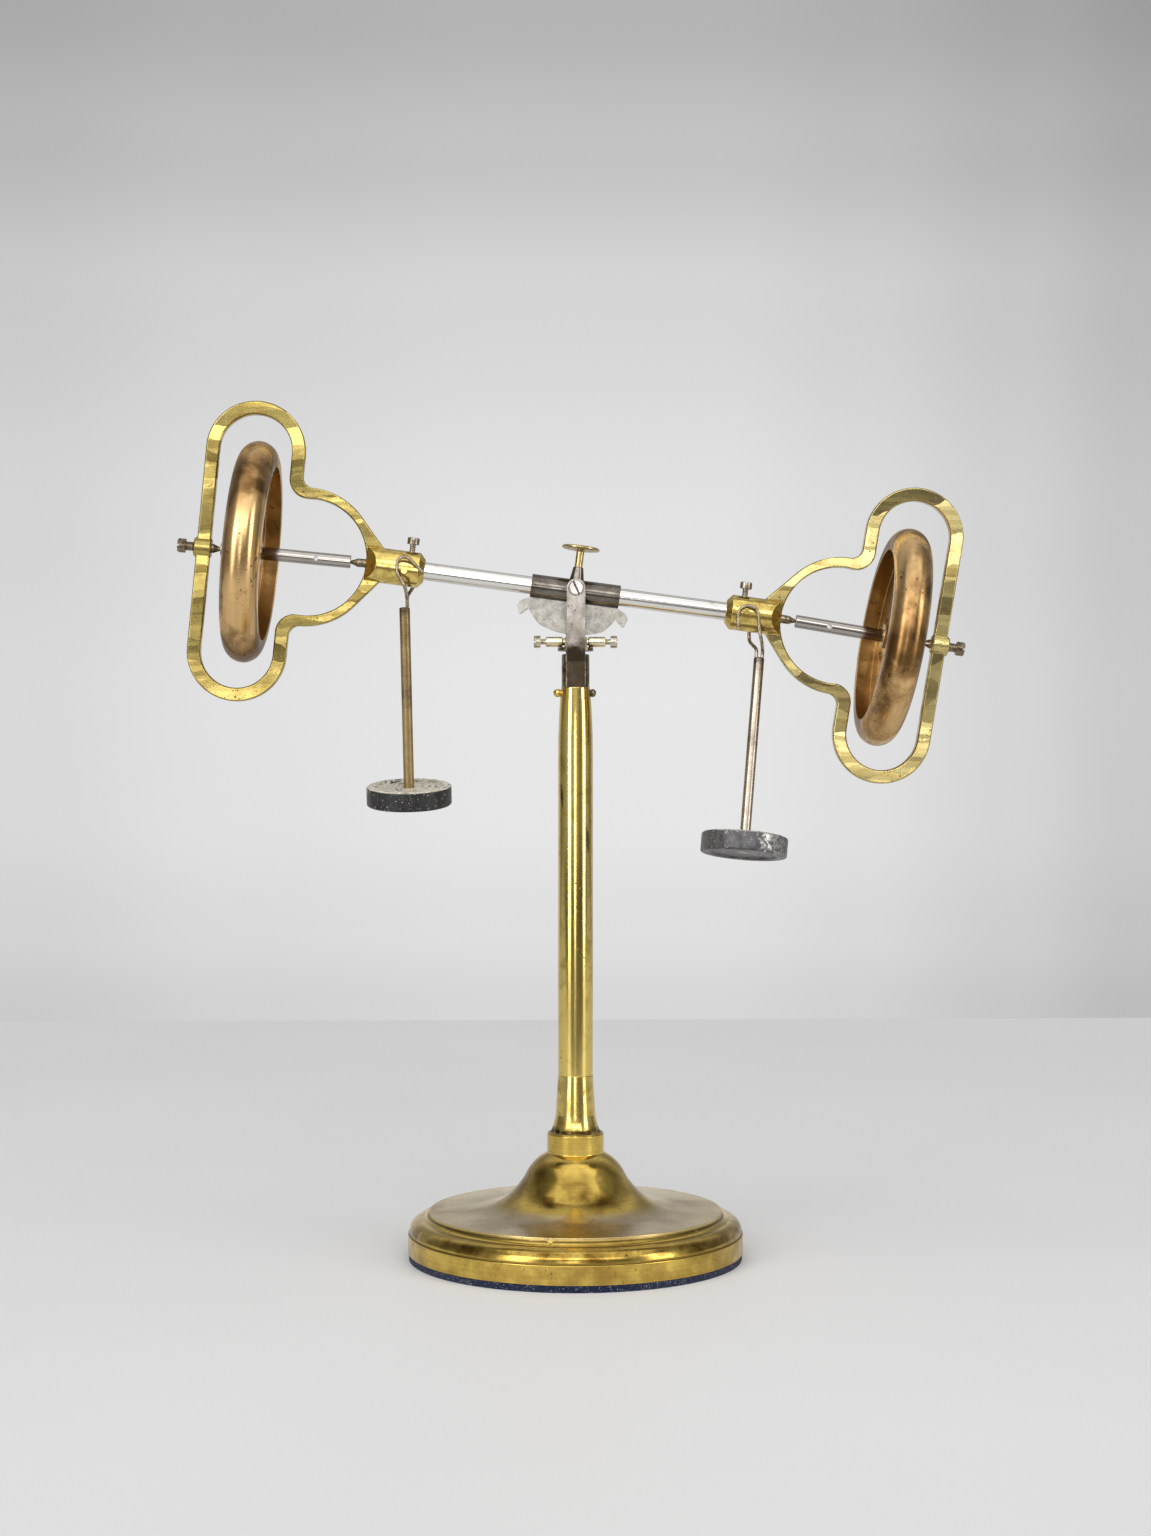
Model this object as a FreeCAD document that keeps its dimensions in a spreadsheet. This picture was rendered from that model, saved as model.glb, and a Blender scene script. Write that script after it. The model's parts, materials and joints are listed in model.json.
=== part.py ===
import FreeCAD, Part
import math
import os
from types import SimpleNamespace

import Sketcher
from FreeCAD import Placement, Rotation, Vector

# Demonstration gyroscope: two rotors on a balanced beam that tilts and swivels on a weighted stand.
# Millimetres and degrees. The origin is the centre of the felt underside, +Z is up and the beam lies along X.

SIZES = {
    # Foot
    "foot_radius": 76.2,
    "felt_thickness": 3.2,
    "felt_inset": 0.4,
    "band_height": 8.7,
    "moulding_inset": 0.5,
    "moulding_groove": 0.4,
    "moulding_radius": 5.8,
    "cove_rise": 2.4,
    "cove_width": 3.0,
    "plate_lip": 0.4,
    "plate_step": 3.3,
    "plate_rise": 0.8,
    "bell_foot_radius": 48.9,
    "bell_waist_radius": 22.5,
    "bell_waist_rise": 16.0,
    "bell_rise": 25.4,
    "shoulder_radius": 19.6,
    "collar_radius": 12.95,
    "collar_height": 8.6,
    "foot_wall": 6.0,
    "nut_seat_depth": 22.5,
    "nut_seat_radius": 17.4,
    # Column
    "stud_radius": 6.0,
    "washer_radius": 12.0,
    "washer_thickness": 1.6,
    "nut_flats": 18.0,
    "nut_height": 6.0,
    "stud_end": 1.6,
    "ferrule_radius": 12.5,
    "ferrule_lip": 0.6,
    "ferrule_cove": 1.2,
    "ferrule_neck_radius": 10.9,
    "ferrule_bead_height": 6.7,
    "ferrule_waist_radius": 9.1,
    "ferrule_height": 26.6,
    "ferrule_spigot": 18.0,
    "column_radius": 7.95,
    "column_wall": 1.3,
    "column_length": 176.7,
    "column_taper_length": 30.5,
    "column_top_radius": 6.65,
    "bush_length": 23.0,
    "bush_screw_drop": 2.5,
    "bush_screw_radius": 1.2,
    "bush_screw_head_radius": 1.85,
    "bush_screw_left_head": 3.4,
    "bush_screw_right_head": 2.7,
    # Yoke
    "spindle_radius": 3.0,
    "spindle_length": 21.5,
    "groove_depth": 0.9,
    "groove_width": 3.0,
    "block_radius": 6.35,
    "block_height": 15.0,
    "block_flat": 4.5,
    "arm_width": 8.4,
    "arm_thickness": 2.0,
    "arm_gap": 7.6,
    "arm_bend_low": 11.5,
    "arm_bend_high": 18.0,
    "flange_rise": 16.5,
    "flange_radius": 8.1,
    "flange_thickness": 1.6,
    "bridge_width": 10.0,
    "bridge_height": 4.3,
    "pivot_rise": 44.7,
    "post_drop": 24.0,
    "post_radius": 2.35,
    "post_start": 5.9,
    "post_end": 13.6,
    "post_neck_radius": 1.6,
    "post_tang": 3.5,
    "stop_shank_radius": 1.3,
    "stop_shank_reach": 6.0,
    "stop_head_gap": 2.4,
    "stop_head_radius": 2.8,
    "stop_head_length": 3.0,
    "thread_pitch": 0.7,
    "thread_depth": 0.22,
    "slot_width": 0.9,
    "slot_depth": 1.0,
    "pivot_head_radius": 3.5,
    "pivot_head_height": 1.6,
    "pivot_slot_lean": 25.0,
    "pivot_shank_radius": 1.5,
    # Tilting sleeve, plate and knob
    "beam_tilt": 7.45,
    "beam_drop": 0.9,
    "sleeve_radius": 5.35,
    "sleeve_length": 40.6,
    "trunnion_radius": 3.0,
    "trunnion_gap": 0.3,
    "boss_base_radius": 3.6,
    "boss_top_radius": 2.3,
    "boss_rise": 11.0,
    "plate_thickness": 1.5,
    "slit_depth": 1.0,
    "plate_bottom": 19.9,
    "plate_side_x": 14.5,
    "plate_side_z": 16.9,
    "plate_arc": 36.0,
    "notch_x": 19.9,
    "notch_z": 10.5,
    "notch_arc": 23.1,
    "horn_tip_x": 24.2,
    "horn_tip_z": 13.5,
    "horn_side_x": 25.4,
    "horn_side_z": 9.6,
    "horn_top_x": 22.0,
    "horn_top_z": 6.3,
    "horn_arc": 4.6,
    "knob_screw_radius": 1.3,
    "knob_stem_radius": 1.8,
    "knob_rise": 18.2,
    "knob_radius": 8.65,
    "knob_rim": 1.5,
    "knob_crown": 0.8,
    # Beam and frames, measured out from the pivot
    "rod_radius": 4.1,
    "rod_half_length": 89.0,
    "socket_start": 69.3,
    "left_socket_end": 96.1,
    "right_socket_end": 94.8,
    "socket_radius": 8.0,
    "socket_chamfer_length": 2.5,
    "socket_chamfer_depth": 2.9,
    "socket_facet": 5.0,
    "frame_droop": 2.0,
    "left_frame_rise": 0.2,
    "right_frame_rise": 1.2,
    "frame_thickness": 5.0,
    "frame_edge": 0.5,
    "frame_root": 7.9,
    "frame_flare_x": 3.5,
    "bow_centre": 27.6,
    "bow_radius": 31.5,
    "bow_inner_centre": 26.5,
    "bow_inner_radius": 26.6,
    "corner_radius": 5.0,
    "inner_corner_radius": 8.5,
    "loop_near": 31.9,
    "loop_far": 76.9,
    "loop_bar": 6.1,
    "loop_straight": 45.9,
    "lug_start": 70.2,
    "lug_end": 78.2,
    "lug_radius": 4.5,
    "inner_pivot_radius": 1.95,
    "inner_pivot_depth": 5.5,
    "pivot_cone": 4.2,
    "pivot_tip_radius": 0.25,
    "pivot_engagement": 1.0,
    "outer_screw_radius": 2.05,
    "outer_screw_shank": 3.8,
    "outer_head_radius": 3.2,
    "outer_head_length": 3.6,
    "left_set_screw_x": 76.0,
    "right_set_screw_x": 77.2,
    "set_screw_radius": 1.35,
    "set_screw_rise": 3.4,
    "set_head_radius": 2.75,
    "set_head_height": 3.0,
    # Rotors
    "axle_start": 6.9,
    "axle_end": 66.1,
    "axle_radius": 2.95,
    "string_hole_x": 22.5,
    "string_hole_radius": 1.1,
    "rotor_x": 52.1,
    "rotor_radius": 50.3,
    "rotor_bore": 39.5,
    "rotor_half_width": 8.4,
    "rotor_web": 2.0,
    "hub_radius": 5.6,
    "hub_length": 9.0,
    "web_hole_radius": 10.4,
    "web_hole_circle": 18.6,
    "web_hole_count": 4,
    # Pegs and hanging weights, x outboard and z up from the peg
    "peg_x": 78.0,
    "peg_radius": 1.4,
    "peg_reach": 3.2,
    "peg_seat": 2.6,
    "left_peg_drop": 1.9,
    "right_peg_drop": -0.4,
    "wire_radius": 0.8,
    "wire_side": 9.4,
    "seat_crown": 2.6,
    "seat_arch": 4.5,
    "left_seat_end": 3.0,
    "right_seat_end": 8.0,
    "raised_crown": 6.4,
    "raised_arch": 3.3,
    "raised_leg_x": 3.2,
    "raised_end_x": 8.3,
    "left_stem_x": 0.15,
    "left_stem_drop": 15.9,
    "left_stem_lean": 1.0,
    "right_stem_x": 6.9,
    "right_stem_drop": 20.5,
    "right_stem_lean": 5.5,
    "stem_y": 1.0,
    "left_stem_side_lean": 10.0,
    "right_stem_side_lean": 8.8,
    "stem_length": 82.3,
    "stem_radius": 2.4,
    "joint_x": 1.3,
    "joint_y": 0.6,
    "joint_run": 4.0,
    "disc_radius": 19.6,
    "disc_height": 9.0,
    "disc_recess_radius": 15.0,
    "disc_recess": 1.0,
    "disc_round": 1.0,
    # Fits
    "running": 0.05,
    "seat": 0.02,
    "axial_play": 0.15,
}

doc = FreeCAD.newDocument("gyroscope_on_stand")
sheet = doc.addObject("Spreadsheet::Sheet", "Sizes")
for row, (name, number) in enumerate(SIZES.items(), start=1):
    sheet.set(f"A{row}", name)
    sheet.set(f"B{row}", str(number))
    sheet.setAlias(f"B{row}", name)
doc.recompute()


class Size:
    """A number together with the sheet expression that it came from."""

    def __init__(self, value, text):
        self.value = float(value)
        self.text = text

    @staticmethod
    def of(other):
        return other if isinstance(other, Size) else Size(other, repr(float(other)))

    def __add__(self, other):
        other = Size.of(other)
        return Size(self.value + other.value, f"({self.text} + {other.text})")

    def __sub__(self, other):
        other = Size.of(other)
        return Size(self.value - other.value, f"({self.text} - {other.text})")

    def __mul__(self, other):
        other = Size.of(other)
        return Size(self.value * other.value, f"({self.text} * {other.text})")

    def __truediv__(self, other):
        other = Size.of(other)
        return Size(self.value / other.value, f"({self.text} / {other.text})")

    def __neg__(self):
        return Size(-self.value, f"(-1 * {self.text})")

    def __float__(self):
        return self.value

    __radd__ = __add__
    __rmul__ = __mul__

    def root(self):
        return Size(math.sqrt(self.value), f"sqrt({self.text})")


s = SimpleNamespace(**{name: Size(sheet.get(name), f"Sizes.{name}") for name in SIZES})

# Heights above the table and places that several pieces share

band_top = s.felt_thickness + s.band_height
step_base = band_top + s.moulding_groove + s.moulding_radius
plate_edge = step_base + s.plate_step
bell_base = plate_edge + s.plate_rise
collar_base = bell_base + s.bell_rise
collar_top = collar_base + s.collar_height
nut_seat = collar_top - s.nut_seat_depth
ferrule_top = collar_top + s.ferrule_height
column_top = ferrule_top + s.column_length
column_bore = s.column_radius - s.column_wall
column_top_bore = s.column_top_radius - s.column_wall
bush_screw_z = column_top - s.bush_screw_drop
block_base = column_top + s.axial_play
block_top = block_base + s.block_height
pivot_z = block_base + s.pivot_rise
post_z = pivot_z - s.post_drop
arm_outer = s.arm_gap + s.arm_thickness
disc_top = -s.stem_length

TILT = Placement(Vector(0, 0, float(pivot_z)), Rotation(Vector(0, 1, 0), float(s.beam_tilt)))
BEAM = TILT.multiply(Placement(Vector(0, 0, -float(s.beam_drop)), Rotation()))
SIDES = {
    "right": Placement(),
    "left": Placement(Vector(), Rotation(Vector(0, 0, 1), 180)),
}
ALONG_X = Placement(Vector(), Rotation(Vector(0, 1, 0), 90))

# The hooks are bent by hand, each in its own way. A leg's places are x outboard and z up from its peg.
# Seated: the arch's outboard side, the side of the rod that the leg joins, and the leg's places going up
SEATED = {
    "right": (5.3, 1, [(6.9, -13.6), (5.8, -7.5)]),
    "left": (4.7, -1, [(-0.9, -9.5), (-4.3, -4.5)]),
}
# Raised: the side of the rod that the leg joins, and the leg's places going up
RAISED = {
    "right": (-1, [(3.2, -12.5)]),
    "left": (-1, [(-0.5, -7.5), (3.2, -0.5)]),
}
nodes = []


def of_side(side, name):
    """The size that one side has for itself."""
    return getattr(s, f"{side}_{name}")


def droop(side):
    """Where a frame starts, at the end of its socket, leaning a little below the beam's own line."""
    return Placement(Vector(float(of_side(side, "socket_end")), 0, 0), Rotation(Vector(0, 1, 0), float(s.frame_droop)))


def tie(sketch, constraint, size):
    """Adds a constraint to a sketch and binds it to the sheet."""
    index = sketch.addConstraint(constraint)
    sketch.setExpression(f"Constraints[{index}]", size.text)


def pin(sketch, geometry, point, x=None, y=None):
    """Fixes one point of a sketch at x, y from the origin, or only one of the two."""
    for kind, size, axis in (("DistanceX", x, -2), ("DistanceY", y, -1)):
        if size is None:
            continue
        size = Size.of(size)
        if size.value == 0:
            sketch.addConstraint(Sketcher.Constraint("PointOnObject", geometry, point, axis))
        else:
            tie(sketch, Sketcher.Constraint(kind, -1, 1, geometry, point, size.value), size)


def arc_centre(start, end, rule, size, turn):
    """Centre of the arc from start to end with the given radius, or with the given x or y of its centre."""
    middle = (start + end) / 2
    run = end - start
    if rule == "x":
        return Vector(size.value, middle.y - (size.value - middle.x) * run.x / run.y, 0)
    if rule == "y":
        return Vector(middle.x - (size.value - middle.y) * run.y / run.x, size.value, 0)
    height = math.sqrt(size.value ** 2 - run.Length ** 2 / 4)
    normal = Vector(-run.y, run.x, 0).normalize()
    return middle + normal * (height * turn)


def add_arc(sketch, start, end, rule, size, turn):
    """Adds an arc; a turn of 1 is to the left. Returns its index and which of its ends come first and last."""
    centre = arc_centre(start, end, rule, size, turn)
    first, last = (start, end) if turn > 0 else (end, start)
    angles = [math.atan2(point.y - centre.y, point.x - centre.x) for point in (first, last)]
    circle = Part.Circle(centre, Vector(0, 0, 1), (start - centre).Length)
    index = sketch.addGeometry(Part.ArcOfCircle(circle, angles[0], angles[1]), False)
    if rule == "r":
        tie(sketch, Sketcher.Constraint("Radius", index, size.value), size)
    else:
        pin(sketch, index, 3, **{rule: size})
    return index, (1, 2) if turn > 0 else (2, 1)


def add_loop(sketch, path):
    """Adds a closed loop. A step is (x, y), or (x, y, rule, size, turn) for an arc to that point."""
    path = [tuple(Size.of(part) if i < 2 else part for i, part in enumerate(step)) for step in path]
    corners = [Vector(step[0].value, step[1].value, 0) for step in path]
    edges = []
    for i, step in enumerate(path):
        start, end = corners[i - 1], corners[i]
        if len(step) == 2:
            edges.append((sketch.addGeometry(Part.LineSegment(start, end), False), (1, 2)))
        else:
            rule, size, turn = step[2:]
            edges.append(add_arc(sketch, start, end, rule, Size.of(size), turn))
    for i, (index, ends) in enumerate(edges):
        following, next_ends = edges[(i + 1) % len(edges)]
        sketch.addConstraint(Sketcher.Constraint("Coincident", index, ends[1], following, next_ends[0]))
        pin(sketch, index, ends[1], path[i][0], path[i][1])


def add_circle(sketch, x, y, radius):
    """Adds a circle tied to the sheet."""
    x, y, radius = Size.of(x), Size.of(y), Size.of(radius)
    circle = Part.Circle(Vector(x.value, y.value, 0), Vector(0, 0, 1), radius.value)
    index = sketch.addGeometry(circle, False)
    tie(sketch, Sketcher.Constraint("Radius", index, radius.value), radius)
    if x.value == 0 and y.value == 0:
        sketch.addConstraint(Sketcher.Constraint("Coincident", index, 3, -1, 1))
    else:
        pin(sketch, index, 3, x, y)


def new_body(label):
    return doc.addObject("PartDesign::Body", label)


def new_sketch(body, plane, offset=None):
    """An empty sketch on one of the body's own origin planes, lifted off it by an optional offset."""
    sketch = body.newObject("Sketcher::SketchObject", f"{body.Label}_sketch")
    support = [feature for feature in body.Origin.OriginFeatures if feature.Role == plane]
    sketch.AttachmentSupport = [(support[0], "")]
    sketch.MapMode = "FlatFace"
    if offset is not None:
        sketch.setExpression("AttachmentOffset.Base.z", Size.of(offset).text)
    return sketch


def outline(body, plane, *loops, offset=None):
    """A sketch of one or more closed loops."""
    sketch = new_sketch(body, plane, offset)
    for loop in loops:
        add_loop(sketch, loop)
    return sketch


def feature(body, kind, sketch):
    """Adds a feature that is made from a sketch."""
    added = body.newObject(f"PartDesign::{kind}", f"{body.Label}_{kind.lower()}")
    added.Profile = sketch
    return added


def revolve(body, loop, plane="XZ_Plane", axis="V_Axis", kind="Revolution"):
    """Turns a loop about its sketch's axis; kind Groove cuts instead."""
    sketch = outline(body, plane, loop)
    turned = feature(body, kind, sketch)
    turned.ReferenceAxis = (sketch, [axis])
    turned.Angle = 360
    return turned


def pad(body, sketch, length, symmetric=False):
    added = feature(body, "Pad", sketch)
    added.setExpression("Length", Size.of(length).text)
    added.SideType = "Symmetric" if symmetric else "One side"
    return added


def pocket(body, sketch, length, symmetric=True, backwards=False):
    """Cuts a sketch through or into the body, and checks that it removes something."""
    doc.recompute()
    before = body.Shape.Volume
    cut = feature(body, "Pocket", sketch)
    cut.setExpression("Length", Size.of(length).text)
    cut.SideType = "Symmetric" if symmetric else "One side"
    cut.Reversed = backwards
    doc.recompute()
    if body.Shape.Volume > before - 1e-6:
        raise ValueError(f"{body.Label}: a pocket removes nothing")
    return cut


def drill(body, plane, x, y, radius, length):
    """Drills a round hole of the given length, centred on a plane."""
    sketch = new_sketch(body, plane)
    add_circle(sketch, x, y, radius)
    return pocket(body, sketch, length)


def groove(body, loop, plane="XZ_Plane", axis="V_Axis"):
    """Turns a loop out of the body, and checks that it removes something."""
    doc.recompute()
    before = body.Shape.Volume
    revolve(body, loop, plane, axis, "Groove")
    doc.recompute()
    if body.Shape.Volume > before - 1e-6:
        raise ValueError(f"{body.Label}: a groove removes nothing")


def rectangle(x_low, x_high, y_low, y_high):
    return [(x_low, y_low), (x_high, y_low), (x_high, y_high), (x_low, y_high)]


def node(piece, label, *places):
    """Names a finished piece, places it and adds it to the pieces that are written."""
    piece.Label = label
    whole = Placement()
    for place in places:
        whole = whole.multiply(place)
    piece.Placement = whole
    nodes.append(piece)
    return piece


def at(x, y, z):
    return Placement(Vector(float(x), float(y), float(z)), Rotation())


def slotted_head(body, radius, base, top):
    """Cuts a screwdriver slot across a round head that ends at a height of top."""
    half = s.slot_width / 2
    reach = radius + 1
    sketch = outline(body, "XZ_Plane", rectangle(-half, half, base, top + 1))
    pocket(body, sketch, reach * 2)


def threaded(radius, low, high):
    """The rings of a thread along a shank that shows between two heights."""
    count = int((high.value - low.value) / s.thread_pitch.value)
    rings = []
    for turn in range(count):
        crest = low + s.thread_pitch * turn
        rings.append((radius, crest + s.thread_pitch * 0.25))
        rings.append((radius - s.thread_depth, crest + s.thread_pitch * 0.6))
        rings.append((radius, crest + s.thread_pitch * 0.95))
    return rings


# Foot

def make_foot():
    felt = new_body("base_felt")
    felt_radius = s.foot_radius - s.felt_inset
    revolve(felt, [(0, 0), (felt_radius, 0), (felt_radius, s.felt_thickness), (0, s.felt_thickness)])
    node(felt, "base_felt")

    casting = new_body("base_casting")
    bore = s.stud_radius + s.running
    moulding_edge = s.foot_radius - s.moulding_inset
    moulding_top = moulding_edge - s.moulding_radius
    cove_end = moulding_top - s.cove_width
    plate_radius = cove_end - s.plate_lip
    moulding_foot = step_base - s.moulding_radius
    rim = s.foot_radius - s.foot_wall * 1.2
    hollow_top = bell_base - s.foot_wall
    revolve(casting, [
        (bore, collar_top),
        (bore, nut_seat),
        (s.nut_seat_radius, nut_seat),
        (s.bell_foot_radius, hollow_top, "x", s.bell_foot_radius, 1),
        (plate_radius - s.foot_wall, hollow_top - s.plate_rise),
        (rim, band_top - 2),
        (rim, s.felt_thickness),
        (s.foot_radius, s.felt_thickness),
        (s.foot_radius, band_top - s.moulding_groove),
        (moulding_edge - s.moulding_groove, band_top),
        (moulding_edge, moulding_foot),
        (moulding_top, step_base, "x", moulding_top, 1),
        (cove_end, step_base + s.cove_rise, "x", moulding_top, -1),
        (plate_radius, step_base + s.cove_rise),
        (plate_radius, plate_edge),
        (s.bell_foot_radius, bell_base),
        (s.bell_waist_radius, bell_base + s.bell_waist_rise, "x", s.bell_foot_radius, -1),
        (s.collar_radius, collar_base, "r", s.shoulder_radius, 1),
        (s.collar_radius, collar_top),
    ])
    node(casting, "base_casting")

    washer = new_body("base_washer")
    revolve(washer, [
        (bore, nut_seat - s.washer_thickness),
        (s.washer_radius, nut_seat - s.washer_thickness),
        (s.washer_radius, nut_seat),
        (bore, nut_seat),
    ])
    node(washer, "base_washer")

    nut = new_body("base_nut")
    nut_top = nut_seat - s.washer_thickness
    corner = s.nut_flats / 2
    point = s.nut_flats / Size.of(3).root()
    sketch = outline(nut, "XY_Plane", [
        (point, 0),
        (point / 2, corner),
        (-point / 2, corner),
        (-point, 0),
        (-point / 2, -corner),
        (point / 2, -corner),
    ], offset=nut_top - s.nut_height)
    add_circle(sketch, 0, 0, bore)
    pad(nut, sketch, s.nut_height)
    node(nut, "base_nut")


# Column

def make_column():
    ferrule = new_body("stem_ferrule")
    spigot_radius = column_bore - s.running
    stud_foot = nut_seat - s.washer_thickness - s.nut_height - s.stud_end
    cove_top = collar_top + s.ferrule_lip + s.ferrule_cove
    revolve(ferrule, [
        (0, stud_foot),
        (s.stud_radius - 0.6, stud_foot),
        (s.stud_radius, stud_foot + 0.6),
        (s.stud_radius, collar_top),
        (s.ferrule_radius, collar_top),
        (s.ferrule_radius, collar_top + s.ferrule_lip),
        (s.ferrule_neck_radius, cove_top, "r", s.ferrule_cove * 1.5, -1),
        (s.ferrule_waist_radius, cove_top + s.ferrule_bead_height, "r", s.ferrule_bead_height * 4, -1),
        (s.column_radius, ferrule_top),
        (spigot_radius, ferrule_top),
        (spigot_radius, ferrule_top + s.ferrule_spigot),
        (0, ferrule_top + s.ferrule_spigot),
    ])
    node(ferrule, "stem_ferrule")

    tube = new_body("column_tube")
    taper = column_top - s.column_taper_length
    revolve(tube, [
        (column_bore, ferrule_top),
        (s.column_radius, ferrule_top),
        (s.column_radius, taper),
        (s.column_top_radius, column_top, "r", s.column_taper_length * 12, 1),
        (column_top_bore, column_top),
        (column_bore, taper, "r", s.column_taper_length * 12, -1),
    ])
    drill(tube, "YZ_Plane", 0, bush_screw_z, s.bush_screw_radius + s.seat, s.column_radius * 3)
    node(tube, "column_tube")

    bush = new_body("column_bush")
    bush_radius = column_top_bore - s.running
    bush_bore = s.spindle_radius + s.running
    revolve(bush, [
        (bush_bore, column_top - s.bush_length),
        (bush_radius, column_top - s.bush_length),
        (bush_radius, column_top),
        (bush_bore, column_top),
    ])
    drill(bush, "YZ_Plane", 0, bush_screw_z, s.bush_screw_radius + s.seat, s.column_radius * 3)
    node(bush, "column_bush")

    tip = s.spindle_radius - s.groove_depth + s.axial_play
    seat = s.column_top_radius + 0.3
    for side, head in (("left", s.bush_screw_left_head), ("right", s.bush_screw_right_head)):
        screw = new_body(f"bush_screw_{side}")
        revolve(screw, [
            (0, tip),
            (s.bush_screw_radius - 0.4, tip),
            (s.bush_screw_radius, tip + 0.5),
            (s.bush_screw_radius, seat),
            (s.bush_screw_head_radius * 0.85, seat),
            (s.bush_screw_head_radius, seat + head * 0.25),
            (s.bush_screw_head_radius, seat + head * 0.55),
            (s.bush_screw_head_radius * 0.5, seat + head - 0.3),
            (0, seat + head - 0.3),
        ])
        node(screw, f"bush_screw_{side}", SIDES[side], at(0, 0, bush_screw_z), ALONG_X)


# Yoke

def make_yoke():
    block = new_body("yoke_block")
    groove_low = bush_screw_z - s.groove_width / 2
    groove_high = bush_screw_z + s.groove_width / 2
    groove_floor = s.spindle_radius - s.groove_depth
    spindle_foot = block_base - s.spindle_length
    revolve(block, [
        (0, spindle_foot),
        (s.spindle_radius - 0.5, spindle_foot),
        (s.spindle_radius, spindle_foot + 0.5),
        (s.spindle_radius, groove_low),
        (groove_floor, groove_low),
        (groove_floor, groove_high),
        (s.spindle_radius, groove_high),
        (s.spindle_radius, block_base),
        (s.block_radius, block_base),
        (s.block_radius, block_top - 0.4),
        (s.block_radius - 0.4, block_top),
        (0, block_top),
    ])
    reach = s.block_radius + 1
    high = block_top + 1
    sketch = outline(
        block, "YZ_Plane",
        rectangle(s.block_flat, reach, block_base, high),
        rectangle(-reach, -s.block_flat, block_base, high),
    )
    pocket(block, sketch, reach * 2)
    node(block, "yoke_block")

    for side, turn in (("front", 0), ("rear", 180)):
        arm = new_body(f"yoke_arm_{side}")
        half = s.arm_width / 2
        low_outer = s.block_flat + s.arm_thickness
        top = pivot_z + half
        sketch = outline(arm, "YZ_Plane", [
            (-low_outer, block_base),
            (-s.block_flat, block_base),
            (-s.block_flat, block_base + s.arm_bend_low),
            (-s.arm_gap, block_base + s.arm_bend_high),
            (-s.arm_gap, top),
            (-arm_outer, top),
            (-arm_outer, block_base + s.arm_bend_high),
            (-low_outer, block_base + s.arm_bend_low),
        ])
        pad(arm, sketch, s.arm_width, symmetric=True)
        sketch = outline(arm, "XZ_Plane", [
            (half, pivot_z),
            (-half, pivot_z, "y", pivot_z, 1),
            (-half - 1, pivot_z),
            (-half - 1, top + 1),
            (half + 1, top + 1),
            (half + 1, pivot_z),
        ])
        pocket(arm, sketch, arm_outer * 3)
        drill(arm, "XZ_Plane", 0, pivot_z, s.pivot_shank_radius + s.seat, arm_outer * 3)
        node(arm, f"yoke_arm_{side}", Placement(Vector(), Rotation(Vector(0, 0, 1), turn)))

    bridge = new_body("yoke_bridge")
    flange_base = block_base + s.flange_rise
    flange_top = flange_base + s.flange_thickness
    flange_flat = s.arm_gap - 1.5
    flange_side = (s.flange_radius * s.flange_radius - flange_flat * flange_flat).root()
    sketch = outline(bridge, "XY_Plane", [
        (-flange_side, -flange_flat),
        (flange_side, -flange_flat),
        (flange_side, flange_flat, "x", 0, 1),
        (-flange_side, flange_flat),
        (-flange_side, -flange_flat, "x", 0, 1),
    ][1:], offset=flange_base)
    pad(bridge, sketch, s.flange_thickness)
    sketch = outline(
        bridge, "XY_Plane",
        rectangle(-s.bridge_width / 2, s.bridge_width / 2, -s.arm_gap, s.arm_gap),
        offset=flange_top,
    )
    pad(bridge, sketch, s.bridge_height)
    drill(bridge, "YZ_Plane", 0, post_z, s.post_neck_radius + s.seat, s.bridge_width * 2)
    node(bridge, "yoke_bridge")

    for side in SIDES:
        post = new_body(f"stop_post_{side}")
        inside = s.bridge_width / 2 - s.post_tang
        bore = s.stop_shank_radius + s.seat
        floor = s.stop_shank_reach - 0.5
        revolve(post, [
            (0, inside),
            (s.post_neck_radius, inside),
            (s.post_neck_radius, s.post_start),
            (s.post_radius - 0.3, s.post_start),
            (s.post_radius, s.post_start + 0.3),
            (s.post_radius, s.post_end - 0.3),
            (s.post_radius - 0.3, s.post_end),
            (bore, s.post_end),
            (bore, floor),
            (0, floor),
        ])
        node(post, f"stop_post_{side}", SIDES[side], at(0, 0, post_z), ALONG_X)

        screw = new_body(f"stop_screw_{side}")
        head = s.post_end + s.stop_head_gap
        tip = head + s.stop_head_length
        revolve(screw, [
            (0, s.stop_shank_reach),
            (s.stop_shank_radius, s.stop_shank_reach),
            *threaded(s.stop_shank_radius, s.post_end, head),
            (s.stop_shank_radius, head),
            (s.stop_head_radius, head),
            (s.stop_head_radius, tip - 0.3),
            (s.stop_head_radius - 0.3, tip),
            (0, tip),
        ])
        slotted_head(screw, s.stop_head_radius, tip - s.slot_depth, tip)
        node(screw, f"stop_screw_{side}", SIDES[side], at(0, 0, post_z), ALONG_X)

    for side, turn in (("front", 90), ("rear", -90)):
        screw = new_body(f"pivot_screw_{side}")
        tip = s.sleeve_radius - 0.9
        head = arm_outer + s.pivot_head_height
        revolve(screw, [
            (0, tip),
            (s.pivot_shank_radius - 0.3, tip),
            (s.pivot_shank_radius, tip + 0.3),
            (s.pivot_shank_radius, arm_outer),
            (s.pivot_head_radius, arm_outer),
            (s.pivot_head_radius, head - 0.6),
            (s.pivot_head_radius - 0.7, head),
            (0, head),
        ])
        slotted_head(screw, s.pivot_head_radius, head - s.slot_depth, head)
        facing = Placement(Vector(), Rotation(Vector(1, 0, 0), turn))
        slot_lean = Placement(Vector(), Rotation(Vector(0, 0, 1), float(s.pivot_slot_lean)))
        node(screw, f"pivot_screw_{side}", at(0, 0, pivot_z), facing, slot_lean)


# Tilting sleeve with its plate and knob

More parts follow.
